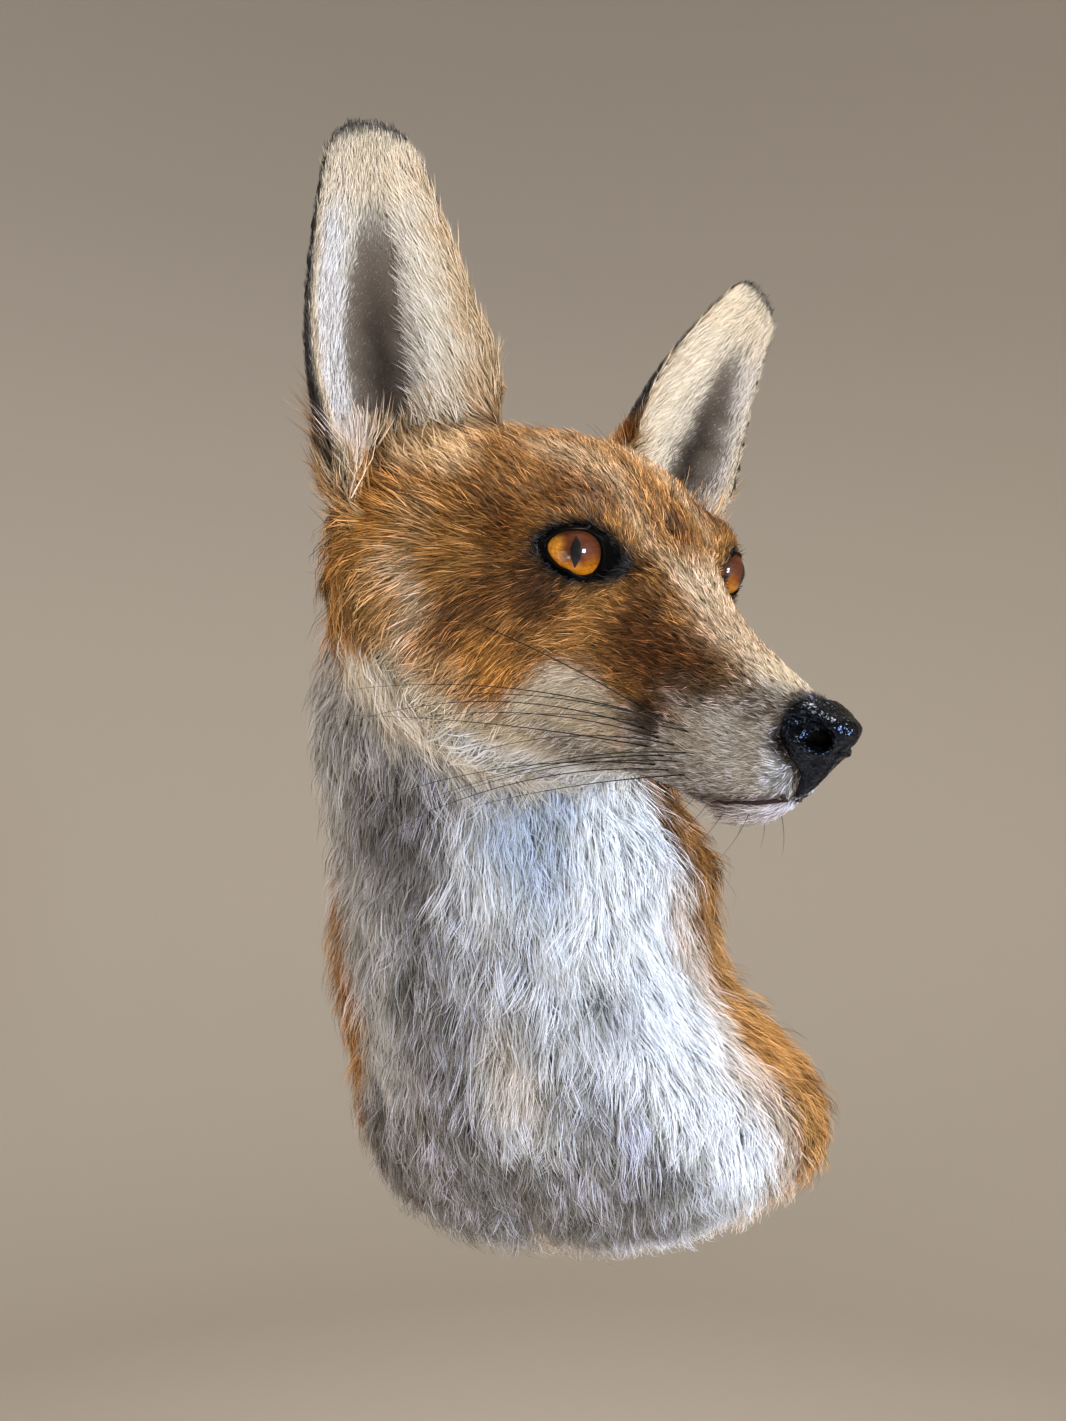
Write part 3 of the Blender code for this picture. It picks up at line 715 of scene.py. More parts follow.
def body_colours(points):
    """Markings of the neck and chest, with painted shade and painted bluish light on the breast,
    at points in metres.
    """
    noise = waviness(points / MM, 40, 5)
    patches = waviness(points / MM * (1, 1, 0.6), 26, 11)
    angle = body_angle(points) + 5 * noise
    x, _, height = points.T / MM
    p = to_head(points)
    crest = bell(near_line(one_sided(p), CREST) + 1.5 * noise, 3.0)
    bib = (ease(-6, 5, angle - along(height, BIB_RIGHT_EDGE))
           * ease(6, -4, angle - along(height, BIB_LEFT_EDGE))
           * ease(3, -6, p[:, 2] - along(p[:, 0], CHEEK_EDGE) + 4 * noise))
    # greyer towards the fox's right: partly grey fur, partly painted shade on the side turned from
    # the window
    grey = 0.10 + 0.48 * ease(0, -45, angle)
    grey = grey + 0.35 * ease(-0.2, 0.6, patches) * ease(48, 15, angle)
    colour = paint(
        np.tile(ORANGE * 0.52 + TAN * 0.22, (len(points), 1)),
        (RUSSET * 0.75, ease(95, 135, np.abs(angle))),
        (UMBER, 0.7 * ease(40, 110, height) * ease(20, 60, angle)),
        (RUSTY_SIDE, 0.85 * (ease(-135, -105, p[:, 0]) * ease(-78, -50, p[:, 2]))),
        (CREAM, 0.35 * crest),
        (WHITE, bib),
        (BREAST_GREY, np.clip(grey, 0, 0.92) * bib),
    )
    # patches of grey underfur and of painted shade, over the bib
    for shade, strength, middle, radii in CHEST_GREY_AND_SHADE_PATCHES:
        reach = np.hypot((angle - middle[0]) / radii[0], (height - middle[1]) / radii[1])
        share = strength * (1 - ease(0.35, 1.25, reach + 0.30 * patches))
        colour = paint(colour, (shade, share * bib))
    below = ease(12, -26, height + 16 * patches + 0.15 * angle) * ease(46, 26, angle)
    # painted shade in the furrow between the lobes of the chest
    furrow = bell(x - CHEST_FURROW, 10) * ease(10, -30, height)
    tuft = bell(x - TUFT_X, 14) * ease(-48, -62, height)
    blush = ease(14, 0, along(height, BIB_LEFT_EDGE) - angle) * ease(100, 75, height)
    ruff = ease(-4, 5, p[:, 2] - along(p[:, 0], RUFF_EDGE) + 4 * noise) * ease(-125, -100, p[:, 0])
    return paint(
        colour,
        (SHADED_BREAST, 0.78 * below * bib),
        (UNDERFUR_AND_SHADE, 0.5 * furrow * bib),
        (CREAMY_TUFT, 0.8 * tuft * bib),
        (TAN * 0.7 + ORANGE * 0.2, 0.75 * blush * bib),
        (CREAM * 0.65 + WHITE * 0.45, ruff * bib),
    )


def ear_place(ear, points):
    """In an ear: the share of its height, and of its breadth towards its outer side."""
    rel = to_head(points) - ear.base
    rise = rel @ ear.up / ear.height
    return rise, rel @ ear.outer / along(rise, EAR_HALF)


def hollow_share(ear, rise, share):
    """1 in the bare-looking hollow of the ear's cup and 0 on the hair round it."""
    off = np.abs(share - ear.hollow + 0.5 * np.maximum(rise - 0.45, 0))
    half = ear.half_hollow - 0.9 * (rise - 0.40) ** 2
    return (1 - ease(half - 0.14, half + 0.12, off)) * ease(0.88, 0.64, rise)


def ear_colours(ear, points, inside):
    rise, share = ear_place(ear, points)
    wobble = waviness(points / MM, 12, 9)
    core = bell(share + 0.05 * wobble - ear.hollow + 0.07, 0.72 * ear.half_hollow)
    rim = ease(-0.62, -0.90, share + 0.12 * wobble) * ease(0.95, 0.8, rise)
    cup = paint(
        np.tile(CREAM * 0.75 + WHITE * 0.25, (len(points), 1)),
        (LILAC, ease(0.30, 0.55, share + 0.08 * wobble)),
        (CREAM * 0.4 + GOLD * 0.5, np.full(len(points), ear.gold)),
        (EAR_BEIGE, hollow_share(ear, rise, share + 0.06 * wobble)),
        # darker deep in the cup: partly a dark hollow, partly painted shade
        (EAR_UMBER_AND_SHADE, core * ease(0.84, 0.38, rise)),
        (CREAM * (1, 0.93, 0.85), 0.8 * ease(0.74, 0.86, rise)),
        (CREAM * 0.6 + TAN * 0.4, ease(0.80, 0.90, share)),
        (TAN * 0.6 + GOLD * 0.4, 0.85 * rim * max(ear.rim, 0.4)),
    )
    back = paint(
        np.tile(BLACK * 1.6, (len(points), 1)),
        (ORANGE * 0.7, ease(0.40, 0.20, rise + 0.06 * wobble)),
        (TAN, ear.rim * ease(-0.72, -0.88, share) * ease(0.80, 0.70, rise)),
    )
    start = np.where((share < 0) == (ear.rim > 0.5), 0.02, 0.20)
    seen = ease(start, start + 0.36, inside)[:, None]
    edge = np.maximum(ear.rim * ease(0.92, 0.99, share) * ease(0.12, 0.2, rise),
                      ease(0.965, 0.99, rise + 0.03 * np.abs(share) ** 2))
    edge = np.maximum(edge, ease(-0.90, -0.99, share) * ease(0.82, 0.90, rise))
    foot = ease(0.22, 0.06, rise + 0.06 * wobble)
    return paint(back * (1 - seen) + cup * seen, (BLACK * 2.5, 0.9 * edge), (GOLD, 0.8 * foot))


def blended(skin, points, of_head, of_body, of_ear):
    """Values of the head, body and ears at points over the skin's, mixed where these meet."""
    parts = [of_head(to_head(points)), of_body(points)]
    parts += [of_ear(ear, points, skin.inside) for ear in EARS]
    return sum((part.T * share).T for part, share in zip(parts, skin.shares.T))


def coat_colours(skin, points):
    return blended(skin, points, head_colours, body_colours, ear_colours)


GRAIN_SCALE, GRAIN_DETAIL, GRAIN_STRENGTH = 900, 4, 0.5
# Finishes that take their colour from the mesh: roughness, depth of the bump and other inputs.
FINISHES = {
    "hide": (0.85, 0.0006, {}),
    "fur": (0.5, 0, {}),
    "glass_eye": (0.5, 0, {"Specular IOR Level": 0.1, "Coat Weight": 0.6, "Coat Roughness": 0.02}),
    "lid_skin": (0.35, 0, {"Specular IOR Level": 0.05}),
    "nose_leather": (0.22, 0, {"Specular IOR Level": 0.30, "Specular Tint": (0.45, 0.62, 1.0, 1)}),
    "lip_skin": (0.45, 0.0002, {}),
    "whisker": (0.4, 0, {}),
}


def coat_material(name):
    roughness, bump, inputs = FINISHES[name]
    material = new_material(name, roughness, {"Specular IOR Level": 0.2, **inputs})
    tone = add_node(material, "VertexColor", {})
    tone.layer_name = "coat"
    finish_shader(material, {"Base Color": tone.outputs["Color"]})
    if bump:
        grain = add_node(material, "TexNoise", {
            "Scale": GRAIN_SCALE, "Detail": GRAIN_DETAIL, "Vector": object_place(material)})
        relief = add_node(material, "Bump", {
            "Strength": GRAIN_STRENGTH, "Distance": bump, "Height": grain.outputs["Fac"]})
        finish_shader(material, {"Normal": relief.outputs["Normal"]})
    return material


# ---------------------------------------------------------------- the lie of the coat


def head_flow(p):
    """Which way the hair lies on the head, in its axes."""
    x, y, z = p.T
    side = y / (np.abs(y) + 6)
    flow = np.tile((-1, 0, -0.12), (len(p), 1))
    turns = [  # where hair turns, and how far forwards, to the side and up
        (ease(18, -10, x) * ease(4, -22, z), 0.25, 0.30, -0.75),  # the cheek
        (ease(8, -16, x) * ease(-16, 6, z), 0, 0.45, 0.25),  # the temple
        (ease(-2, 14, z) * ease(14, 4, np.abs(y)), 0, -0.35, 0.4),  # the crown
        (ease(-30, -62, x) * ease(12, -12, z), 0.10, 0.30, -0.55),  # the ruff
    ]
    for share, forwards, sideways, up in turns:
        flow += np.stack([share * forwards, share * (sideways * side), share * up], 1)
    for eye in EYES:
        rel = p - eye.middle
        reach = np.linalg.norm(rel, axis=1)
        rel[:, 0] = np.minimum(rel[:, 0], 0) * 0.6
        flow += unit(rel) * (0.95 * bell(reach, 15))[:, None]
    for ear in EARS:
        reach = np.linalg.norm(p - (ear.base + ear.up * ear.height * 0.2), axis=1)
        flow += ear.up * (1.8 * bell(reach, 27))[:, None]
    return unit(flow)


def body_flow(points):
    """Which way the hair lies on the neck and chest."""
    angle = np.radians(body_angle(points))
    height = points[:, 2] / MM
    sideways = 0.14 * np.sin(angle) * ease(130, 30, height)
    back = 0.10 + 0.35 * np.abs(np.sin(angle / 2)) + 0.5 * ease(0, -60, height)
    return unit(np.stack([sideways, back, np.full(len(points), -1.0)], 1))


def ear_flow(ear, points, inside):
    """On an ear the hair runs to the tip, and inside it sweeps from the inner rim over the cup."""
    rise, share = ear_place(ear, points)
    sweep = np.where(share < 0, 0.85 * ease(0.1, -0.5, share), -0.30 * ease(0.3, 0.8, share))
    sweep = sweep * inside * ease(1.0, 0.7, rise)
    flow = ear.up + ear.outer * sweep[:, None] + ear.front * (0.25 * inside)[:, None]
    return unit(flow) @ HEAD_ROTATION.T


def turned(vectors, about, angle):
    """Vectors turned about unit axes square to them."""
    return vectors * np.cos(angle)[:, None] + np.cross(about, vectors) * np.sin(angle)[:, None]


def lie_of_coat(skin):
    flow = blended(skin, skin.points, lambda p: head_flow(p) @ HEAD_ROTATION.T, body_flow,
                   ear_flow)
    for _ in range(3):
        flow -= skin.normals * (flow * skin.normals).sum(1, keepdims=True)
        flow = unit(smoothed(unit(flow), skin.edges, 3))
    flow -= skin.normals * (flow * skin.normals).sum(1, keepdims=True)
    swirl = 0.16 * waviness(skin.points / MM, 24, 31) + 0.10 * waviness(skin.points / MM, 9, 32)
    return unit(turned(unit(flow), skin.normals, swirl))


# ---------------------------------------------------------------- the fur

COAT_PIECE_TRIANGLES, FUR_SEED = 190_000, 11
# A kind of fur: its region, strands per square centimetre, the spacing of its locks and how much
# it gathers into them, joints along a strand, stray angle, its length and width against the
# region's own, how high it stands, how much its strands' tones vary, and its tone overall.
Fur = namedtuple("Fur", "name region density lock gather joints stray long wide lift vary tone")
FURS = [
    Fur("fur_face", HEAD_REGION, 480, 1.7, 0.40, 2, 0.13, 0.85, 0.90, 0.8, 0.50, 0.85),
    Fur("guard_face", HEAD_REGION, 205, 1.3, 0.35, 2, 0.17, 1.25, 0.80, 1.15, 0.78, 1.0),
    Fur("ear_tufts", HEAD_REGION, 420, 1.6, 0.45, 2, 0.16, 1.1, 0.85, 1.0, 0.45, 1.1),
    Fur("fur_body", BODY_REGION, 124, 4.6, 0.60, 2, 0.24, 0.76, 0.76, 0.95, 0.62, 0.92),
    Fur("guard_body", BODY_REGION, 34, 6.0, 0.62, 3, 0.30, 1.05, 0.56, 1.3, 0.56, 1.1),
    Fur("fur_ear_left", LEFT_EAR, 300, 1.0, 0.18, 2, 0.14, 1.0, 0.80, 1.0, 0.5, 1.15),
    Fur("fur_ear_right", RIGHT_EAR, 300, 1.0, 0.18, 2, 0.14, 1.0, 0.80, 1.0, 0.5, 1.05),
]
# Length of the hair in millimetres: on the head by x, on the body by height.
HEAD_LENGTH = [(80, 1.8), (60, 3.0), (30, 4.6), (5, 6.2), (-20, 9.0), (-40, 14), (-70, 23)]
BODY_LENGTH = [(-80, 16), (-50, 20), (-20, 22), (80, 24), (140, 22), (240, 21)]
TUFT_LENGTH, EAR_TUFT_LENGTH = 18, 5  # how much longer tufts are, below and before the ears
FLAT_STAND = 0.16  # how far hair stands up from the skin at least, as a share of its length
# The swing of locks and how strands curl and roll, then the ranges in which the lengths and
# heights of locks and of strands vary.
LOCK_SWING, CURL, ROLL = 0.17, 0.06, 0.6
LOCK_LENGTHS, LOCK_LIFTS = (0.80, 1.12), (0.6, 1.15)
STRAND_LENGTHS, STRAND_LIFTS = (0.72, 1.15), (0.5, 1.0)
BODY_WIDTH, HEAD_WIDTH, WIDTH_BY_LENGTH = 0.55, 0.15, 0.022
TAPERS = {2: (1.0, 0.75), 3: (1.0, 0.9, 0.6)}  # the width at each joint, by how many there are
WALL_GAP = 0.4 * MM
PATCH_SIZE = 0.003  # how much of the unit square a strand takes on its unwrap
STRAND_TINT = np.array((0.97, 1.0, 1.2))  # how strongly red, green and blue vary together
BRIGHTEST, DARKEST = (0.92, 0.90, 0.90), 0.003


def ear_front(p):
    """1 on the tufts that grow up in front of either ear, at points in the head's axes."""
    share = np.zeros(len(p))
    for ear in EARS:
        foot = ear.base + ear.up * ear.height * 0.10 + ear.front * 12
        reach = near_line(p, [foot - ear.outer * 18, foot + ear.outer * 18])
        share = np.maximum(share, bell(reach, 11))
    return share


def head_hair(p):
    """The head's hair: its length in millimetres, and how far it stands up, as a share of that."""
    x, _, z = p.T
    tufts = ear_front(p)
    ruff = ease(-40, -58, z)
    chin = ease(-50, -55, z) * ease(48, 58, x)
    length = along(x, HEAD_LENGTH) * (1 - 0.35 * (ease(-5, 15, z) * ease(0, -20, x)))
    length = length + 5 * ease(-52, -64, z) * ease(40, 10, x)
    length = length + 8 * ruff * ease(5, -20, x) + 6 * tufts + 3.5 * chin
    length = length * (1 - 0.55 * lid_share(p, 1.0, 2.4))
    stand = 0.27 * ease(-35, -65, x) + 0.16 * ruff * ease(5, -15, x)
    return np.stack([length, FLAT_STAND + stand + 0.30 * chin + 0.25 * tufts], 1)


def body_hair(points):
    x, _, height = points.T / MM
    length = along(height, BODY_LENGTH)
    length = length + TUFT_LENGTH * bell(x - TUFT_X, 10) * ease(-45, -60, height)
    return np.stack([length, FLAT_STAND + 0.12 * ease(-20, -60, height)], 1)


def ear_hair(ear, points, inside):
    rise, share = ear_place(ear, points)
    cup = 4.5 + 9 * ease(-0.10, -0.55, share) * ease(0.98, 0.6, rise)
    cup = cup * (1 - 0.85 * hollow_share(ear, rise, share) * ease(0.08, 0.18, rise))
    cup = (cup + 9 * ease(0.24, 0.06, rise)) * (1 - 0.5 * ease(0.86, 0.96, rise))
    back = 3.2 + 9 * ease(0.35, 0.1, rise)
    stand = FLAT_STAND + 0.45 * ease(0.22, 0.06, rise)
    return np.stack([back * (1 - inside) + cup * inside, stand], 1)


def growth(skin):
    """0 where no hair grows, on the lids, the lips and the nose, and less where it is thin."""
    p = to_head(skin.points)
    share = 1 - lid_share(p, 0.90, 1.0)
    lip = np.abs(p[:, 2] - along(p[:, 0], MOUTH_LINE)) < 0.8
    share = np.where(lip & (p[:, 0] > 20) & (p[:, 0] < 76), 0.0, share)
    share = share * (1 - leather_share(p) * (skin.region == HEAD_REGION))
    hollow = np.zeros(len(p))
    for ear in EARS:
        own = hollow_share(ear, *ear_place(ear, skin.points))
        hollow += own * (skin.region == ear.region) * skin.inside
    share = share * (1 - 0.5 * hollow)
    behind = ease(75, 120, np.abs(body_angle(skin.points))) * (skin.region == BODY_REGION)
    return share * (1 - 0.4 * behind)


def scatter(skin, fields, here, density, dice):
    """Roots spread evenly at random over some triangles, with the fields' values there."""
    triangles = skin.triangles[here]
    a, b, c = (skin.points[triangles[:, i]] for i in range(3))
    area = np.linalg.norm(np.cross(b - a, c - a), axis=1) / 2 * 1e4  # square centimetres
    count = np.floor(area * density + dice.random(len(area))).astype(int)
    which = np.repeat(np.arange(len(triangles)), count)
    u, v = dice.random(len(which)), dice.random(len(which))
    fold = u + v > 1
    u[fold], v[fold] = 1 - u[fold], 1 - v[fold]
    weights = np.stack([1 - u - v, u, v], 1)
    corners = triangles[which]
    return [(values[corners] * weights[..., None]).sum(1) if values.ndim > 1
            else (values[corners] * weights).sum(1) for values in fields]


def unwrap(points, region, inside):
    """A place in the unit square for each point of the skin, unrolled by its region."""
    if region == HEAD_REGION:
        x, y, z = to_head(points).T
        u, v = np.arctan2(y, z + 24) / (2 * math.pi) + 0.5, (x + 115) / 205
    elif region == BODY_REGION:
        u, v = body_angle(points) / 360 + 0.5, (points[:, 2] / MM + 80) / 330
    else:
        rise, share = ear_place(EARS[region - LEFT_EAR], points)
        u = np.where(inside > 0.5, 0.25, 0.75) + np.clip(share, -1.1, 1.1) * 0.21
        v = rise * 0.88 + 0.08
    return np.clip(np.stack([u, v], 1), 0.004, 0.995)


def locks_of(root, density, spacing, dice):
    """Some strands picked as seeds, and for each strand the place of the nearest seed."""
    chosen = dice.random(len(root)) < 100 / (density * spacing ** 2)
    chosen[0] = True
    seeds = np.flatnonzero(chosen)
    finder = KDTree(len(seeds))
    for i, seed in enumerate(seeds):
        finder.insert(Vector(root[seed]), i)
    finder.balance()
    return seeds, np.array([finder.find(Vector(q))[1] for q in root])


def fall_away(skin, root, lie, length):
    """How the skin falls away under the tips of hairs, and its normals there."""
    fall, normals = np.zeros_like(root), np.zeros_like(root)
    for i, goal in enumerate(root + lie * length[:, None]):
        spot, facing, _, _ = skin.tree.find_nearest(Vector(goal))
        fall[i] = np.array(spot) - goal
        normals[i] = np.array(facing)
    limit = np.minimum(1, length * 0.6 / np.maximum(np.linalg.norm(fall, axis=1), 1e-9))
    return fall * limit[:, None], normals


def strands(fur, skin, coat, dice):
    """Tapered bent strands of one kind of fur: points, their pattern, tones, UVs and normals."""
    here = skin.region[skin.triangles[:, 0]] == fur.region
    density = fur.density * 1
    fields = [skin.points, skin.normals, coat.flow, coat.colour, skin.depth, coat.length,
              coat.stand, skin.inside, coat.growth]
    fields = scatter(skin, fields, here, density, dice)
    keep = dice.random(len(fields[0])) < fields.pop()
    root, normal, lie, tone, depth, length, stand, inside = (values[keep] for values in fields)
    normal, lie = unit(normal), unit(lie)
    count = len(root)
    length = length * fur.long
    on_body = fur.region == BODY_REGION
    width = (BODY_WIDTH + 0 * length if on_body else HEAD_WIDTH + WIDTH_BY_LENGTH * length)
    width = width * fur.wide
    seeds, lock = locks_of(root, density, fur.lock, dice)
    swing = dice.normal(0, LOCK_SWING, len(seeds))
    lock_length = dice.uniform(*LOCK_LENGTHS, len(seeds))
    lock_lift = dice.uniform(*LOCK_LIFTS, len(seeds))
    lock_tone = dice.normal(0, 1, len(seeds))
    lie = unit(turned(lie, normal, swing[lock] + dice.normal(0, fur.stray, count)))
    side = np.cross(lie, normal)
    length = length * lock_length[lock] * dice.uniform(*STRAND_LENGTHS, count) * MM
    standing = np.maximum(depth * MM, length * stand)
    height = standing * fur.lift * lock_lift[lock] * dice.uniform(*STRAND_LIFTS, count)
    fall, tip_normal = fall_away(skin, root[seeds], lie[seeds], length[seeds])
    fall, tip_normal = fall[lock], unit(tip_normal[lock] + normal)
    curl = side * (dice.normal(0, CURL, count) * length)[:, None]

    def place(s, k):
        """The points at share s of the strands k."""
        up = normal[k] * (1 - s) + tip_normal[k] * s
        rise = height[k] * (1 - (1 - s) ** 2)
        return (root[k] + lie[k] * (length[k] * s)[:, None] + up * rise[:, None]
                + (fall[k] + curl[k]) * s * s)

    roll = dice.normal(0, ROLL, count)
    flat = side * np.cos(roll)[:, None] + normal * np.sin(roll)[:, None]
    per = 2 * fur.joints + 1
    points, shares = np.empty((count, per, 3)), np.empty(per)
    for k, s in enumerate(np.linspace(0, 1, fur.joints + 1)):
        own, led = place(s, np.arange(count)), place(s, seeds[lock])
        middle = own + (led - own) * (fur.gather * s ** 1.5)
        middle[:, 1] = np.minimum(middle[:, 1], -WALL_GAP)  # nothing reaches into the wall
        shares[2 * k:2 * k + 2] = s
        if k == fur.joints:
            points[:, -1] = middle
        else:
            half = flat * (width * TAPERS[fur.joints][k] * MM / 2)[:, None]
            points[:, 2 * k], points[:, 2 * k + 1] = middle - half, middle + half
    pattern = []
    for a in range(0, per - 3, 2):
        pattern += [(a, a + 1, a + 3), (a, a + 3, a + 2)]
    pattern.append((per - 3, per - 2, per - 1))
    softness = 0.6 if on_body else 0.4  # how much the strands are shaded as the skin is
    shading = unit(softness * normal + (1 - softness) * np.cross(flat, lie))
    tones = strand_tones(fur, tone, shares, lock_tone[lock], dice)
    patch = np.zeros((per, 2))
    patch[:-1, 0] = np.where(np.arange(per - 1) % 2 == 0, -0.5, 0.5)
    patch[:, 1] = shares - 0.5
    uv = unwrap(root, fur.region, inside)[:, None] + patch[None] * PATCH_SIZE
    return points, np.array(pattern), tones, uv, shading


def strand_tones(fur, tone, shares, lock_tone, dice):
    """Colour along each strand: dark at the root, and paler or deeper in tone as a whole."""
    pale = ease(0.25, 0.60, tone.mean(1))
    vary = fur.vary * (1 - 0.62 * pale) * (0.8 * dice.normal(0, 1, len(tone)) + 0.6 * lock_tone)
    base = tone * fur.tone * np.exp(vary[:, None] * STRAND_TINT)
    gaps = {HEAD_REGION: 0.42, BODY_REGION: 0.18}.get(fur.region, 0.25)
    gaps = gaps + 0.30 * ease(0.12, 0.2, tone[:, 0] - tone[:, 2]) * (fur.region == BODY_REGION)
    root, tip = base * (0.28 + gaps * pale)[:, None], base * 1.18
    out = np.empty((len(tone), len(shares), 3))
    for k, s in enumerate(shares):
        low, high = ease(0.0, 0.6, s), ease(0.45, 1.0, s)
        out[:, k] = (root * (1 - low) + base * low) * (1 - high) + tip * high
    out /= np.maximum((out / BRIGHTEST).max(-1, keepdims=True), 1)  # keeps the hue
    return np.maximum(out, DARKEST)


def add_fur(fur, skin, coat, material):
    dice = np.random.default_rng(FURS.index(fur) + FUR_SEED)
    points, pattern, tones, uv, shading = strands(fur, skin, coat, dice)
    count, per = points.shape[:2]
    slot = "ear_coat" if fur.region >= LEFT_EAR else "coat"
    order = np.argsort(uv[:, 0, 0], kind="stable")
    parts = max(1, math.ceil(count / (COAT_PIECE_TRIANGLES // len(pattern))))
    for k, chosen in enumerate(np.array_split(order, parts)):
        starts = np.arange(len(chosen))[:, None, None] * per
        triangles = (starts + pattern[None]).reshape(-1, 3)
        mesh = add_piece(f"{fur.name}_{k + 1}", (points[chosen].reshape(-1, 3), triangles),
                         tones[chosen].reshape(-1, 3), material, slot)
        layer = mesh.uv_layers.new(name="OFBake")
        layer.data.foreach_set("uv", uv[chosen].reshape(-1, 2)[triangles.ravel()].ravel())
        free = mesh.attributes.new("custom_normal", "FLOAT_VECTOR", "POINT")
        free.data.foreach_set("vector", np.repeat(shading[chosen], per, axis=0).ravel())
    print(f"{fur.name}: {count} strands, {count * len(pattern)} triangles, {parts} pieces")


# ---------------------------------------------------------------- eyes and lids

# the rust also paints the upper lid's shadow; the gold and the low amber paint light on the iris's
# outer and lower sides
IRIS_AMBER, IRIS_RUST_AND_LID_SHADE, IRIS_LIT_GOLD = (0.27, 0.075, 0.004), (0.065, 0.014, 0.004), (0.70, 0.30, 0.03)
IRIS_LIT_LOW = (0.42, 0.14, 0.006)
PUPIL_WIDTH, PUPIL_HEIGHT, PUPIL_LEAN = 1.75, 4.5, 0.13
EYE_SEGMENTS, EYE_ROWS = 192, 128
BULGE, BULGE_RADIUS = 0.5, 6.4  # the clear dome before the iris
# The rows of the lids from the glass out into the face: the share of the way, and how proud.
LID_ROWS = [(0.0, -1.2), (0.0, 0.15), (0.05, 0.55), (0.12, 0.85), (0.22, 0.95), (0.34, 0.8),
            (0.48, 0.55), (0.64, 0.35), (0.82, 0.2), (1.02, -0.2)]
LID_SIDES = 120
LID_REACH = 8.35  # how far from its axis the glass is met at most
FROM_FRONT = 25  # how far before the eye the face is looked for


def eye_colours(local):
    """The iris at points of the eye in its own axes: x along the gaze, y inwards and z up. The
    upper lid's shadow and light on the outer and lower sides are painted in.
    """
    out, across, rise = local.T
    reach, angle = np.hypot(across, rise), np.arctan2(rise, across)
    streak = (np.sin(angle * 37 + 2.0 * np.sin(angle * 5)) * 0.5
              + np.sin(angle * 71 + reach * 1.5) * 0.5)
    speckle = 0.6 * waviness(local, 1.6, 77) + 0.6 * waviness(local, 0.5, 78)
    colour = paint(
        np.tile(IRIS_AMBER, (len(local), 1)),
        (IRIS_RUST_AND_LID_SHADE, 0.9 * ease(6.0, 2.2, reach)),
        # painted shadow of the upper lid, rust over the top of the iris
        (IRIS_RUST_AND_LID_SHADE, 0.97 * ease(-1.6, 3.4, rise + 0.3 * across)),
        # painted light, golden on the outer side and amber below
        (IRIS_LIT_GOLD, 0.9 * ease(-2.6, -6.0, across) * ease(5, 1, rise)),
        (IRIS_LIT_LOW, 0.8 * ease(-1.6, -4.8, rise)),
    )
    colour = colour * np.exp(0.18 * streak + 0.50 * speckle)[:, None]
    wide = PUPIL_WIDTH * (1 - (np.abs(rise) / PUPIL_HEIGHT) ** 1.6)
    slit = np.abs(across + PUPIL_LEAN * rise) / np.maximum(wide, 1e-3)
    pupil = (1 - ease(0.88, 1.04, slit)) * (np.abs(rise) < PUPIL_HEIGHT)
    colour = paint(colour, (BLACK, ease(7.9, 8.5, reach)), (BLACK * 0.3, pupil), (BLACK, out < 0))
    return np.clip(colour, 0.001, 0.95)


def make_eyes():
    """Glass balls with a painted iris and pupil under a clear, glossy dome."""
    material = coat_material("glass_eye")
    shape = bmesh.new()
    bmesh.ops.create_uvsphere(shape, u_segments=EYE_SEGMENTS, v_segments=EYE_ROWS,
                              radius=EYE_RADIUS)
    mesh = bpy.data.meshes.new("ball")
    shape.to_mesh(mesh)
    shape.free()
    points, triangles = mesh_arrays(mesh)
    local = points[:, [2, 0, 1]]
    shaped = local.copy()
    shaped[:, 0] += BULGE * ease(BULGE_RADIUS, 0.0, np.hypot(*local[:, 1:].T)) * (local[:, 0] > 0)
    for eye in EYES:
        axes = np.stack([eye.gaze, eye.inward, eye.upward], 1)
        faces = triangles[:, ::-1] if np.linalg.det(axes) < 0 else triangles
        add_piece(f"eye_{eye.name}_glass", (from_head(shaped @ axes.T + eye.middle), faces),
                  eye_colours(local), material, "eye", f"eye_{eye.name}")


def ring_faces(rings, sides):
    """Triangles between closed rings of points that follow one another."""
    triangles = []
    for start in range(0, (rings - 1) * sides, sides):
        for k in range(sides):
            a, b = start + k, start + (k + 1) % sides
            triangles += [(a, b, b + sides), (a, b + sides, a + sides)]
    return triangles


def make_lids(skin):
    """Black lids: a soft rim on the glass that runs out into the face."""
    material = coat_material("lid_skin")
    around = np.linspace(-math.pi, math.pi, LID_SIDES, endpoint=False)
    opening, edge = closed_reach(LID_OPENING, around), closed_reach(LID_EDGE, around)
    glass = np.sqrt(EYE_RADIUS ** 2 - np.minimum(opening, LID_REACH) ** 2)
    for eye in EYES:
        ways = np.cos(around)[:, None] * eye.inward + np.sin(around)[:, None] * eye.upward
        face = []
        for way, reach in zip(ways, edge):
            start = eye.middle + way * reach * 1.02 + eye.gaze * FROM_FRONT
            hit = skin.tree.ray_cast(Vector(from_head(start)),
                                     -Vector(HEAD_ROTATION @ eye.gaze))
            face.append(FROM_FRONT - hit[3] / MM if hit[0] else 5)
        for _ in range(6):
            face = (np.roll(face, 1) + face + np.roll(face, -1)) / 3
        rows = []
        for share, swell in LID_ROWS:
            level = glass + (face - glass) * ease(0.0, 0.95, share)
            reach = opening + (edge - opening) * share
            rows.append(eye.middle + ways * reach[:, None] + eye.gaze * (level + swell)[:, None])
        triangles = np.array(ring_faces(len(rows), LID_SIDES))
        if eye.side > 0:
            triangles = triangles[:, [0, 2, 1]]
        add_piece(f"lids_{eye.name}", (from_head(np.concatenate(rows)), triangles), BLACK * 0.2,
                  material, "coat")


# ---------------------------------------------------------------- nose, lips and whiskers

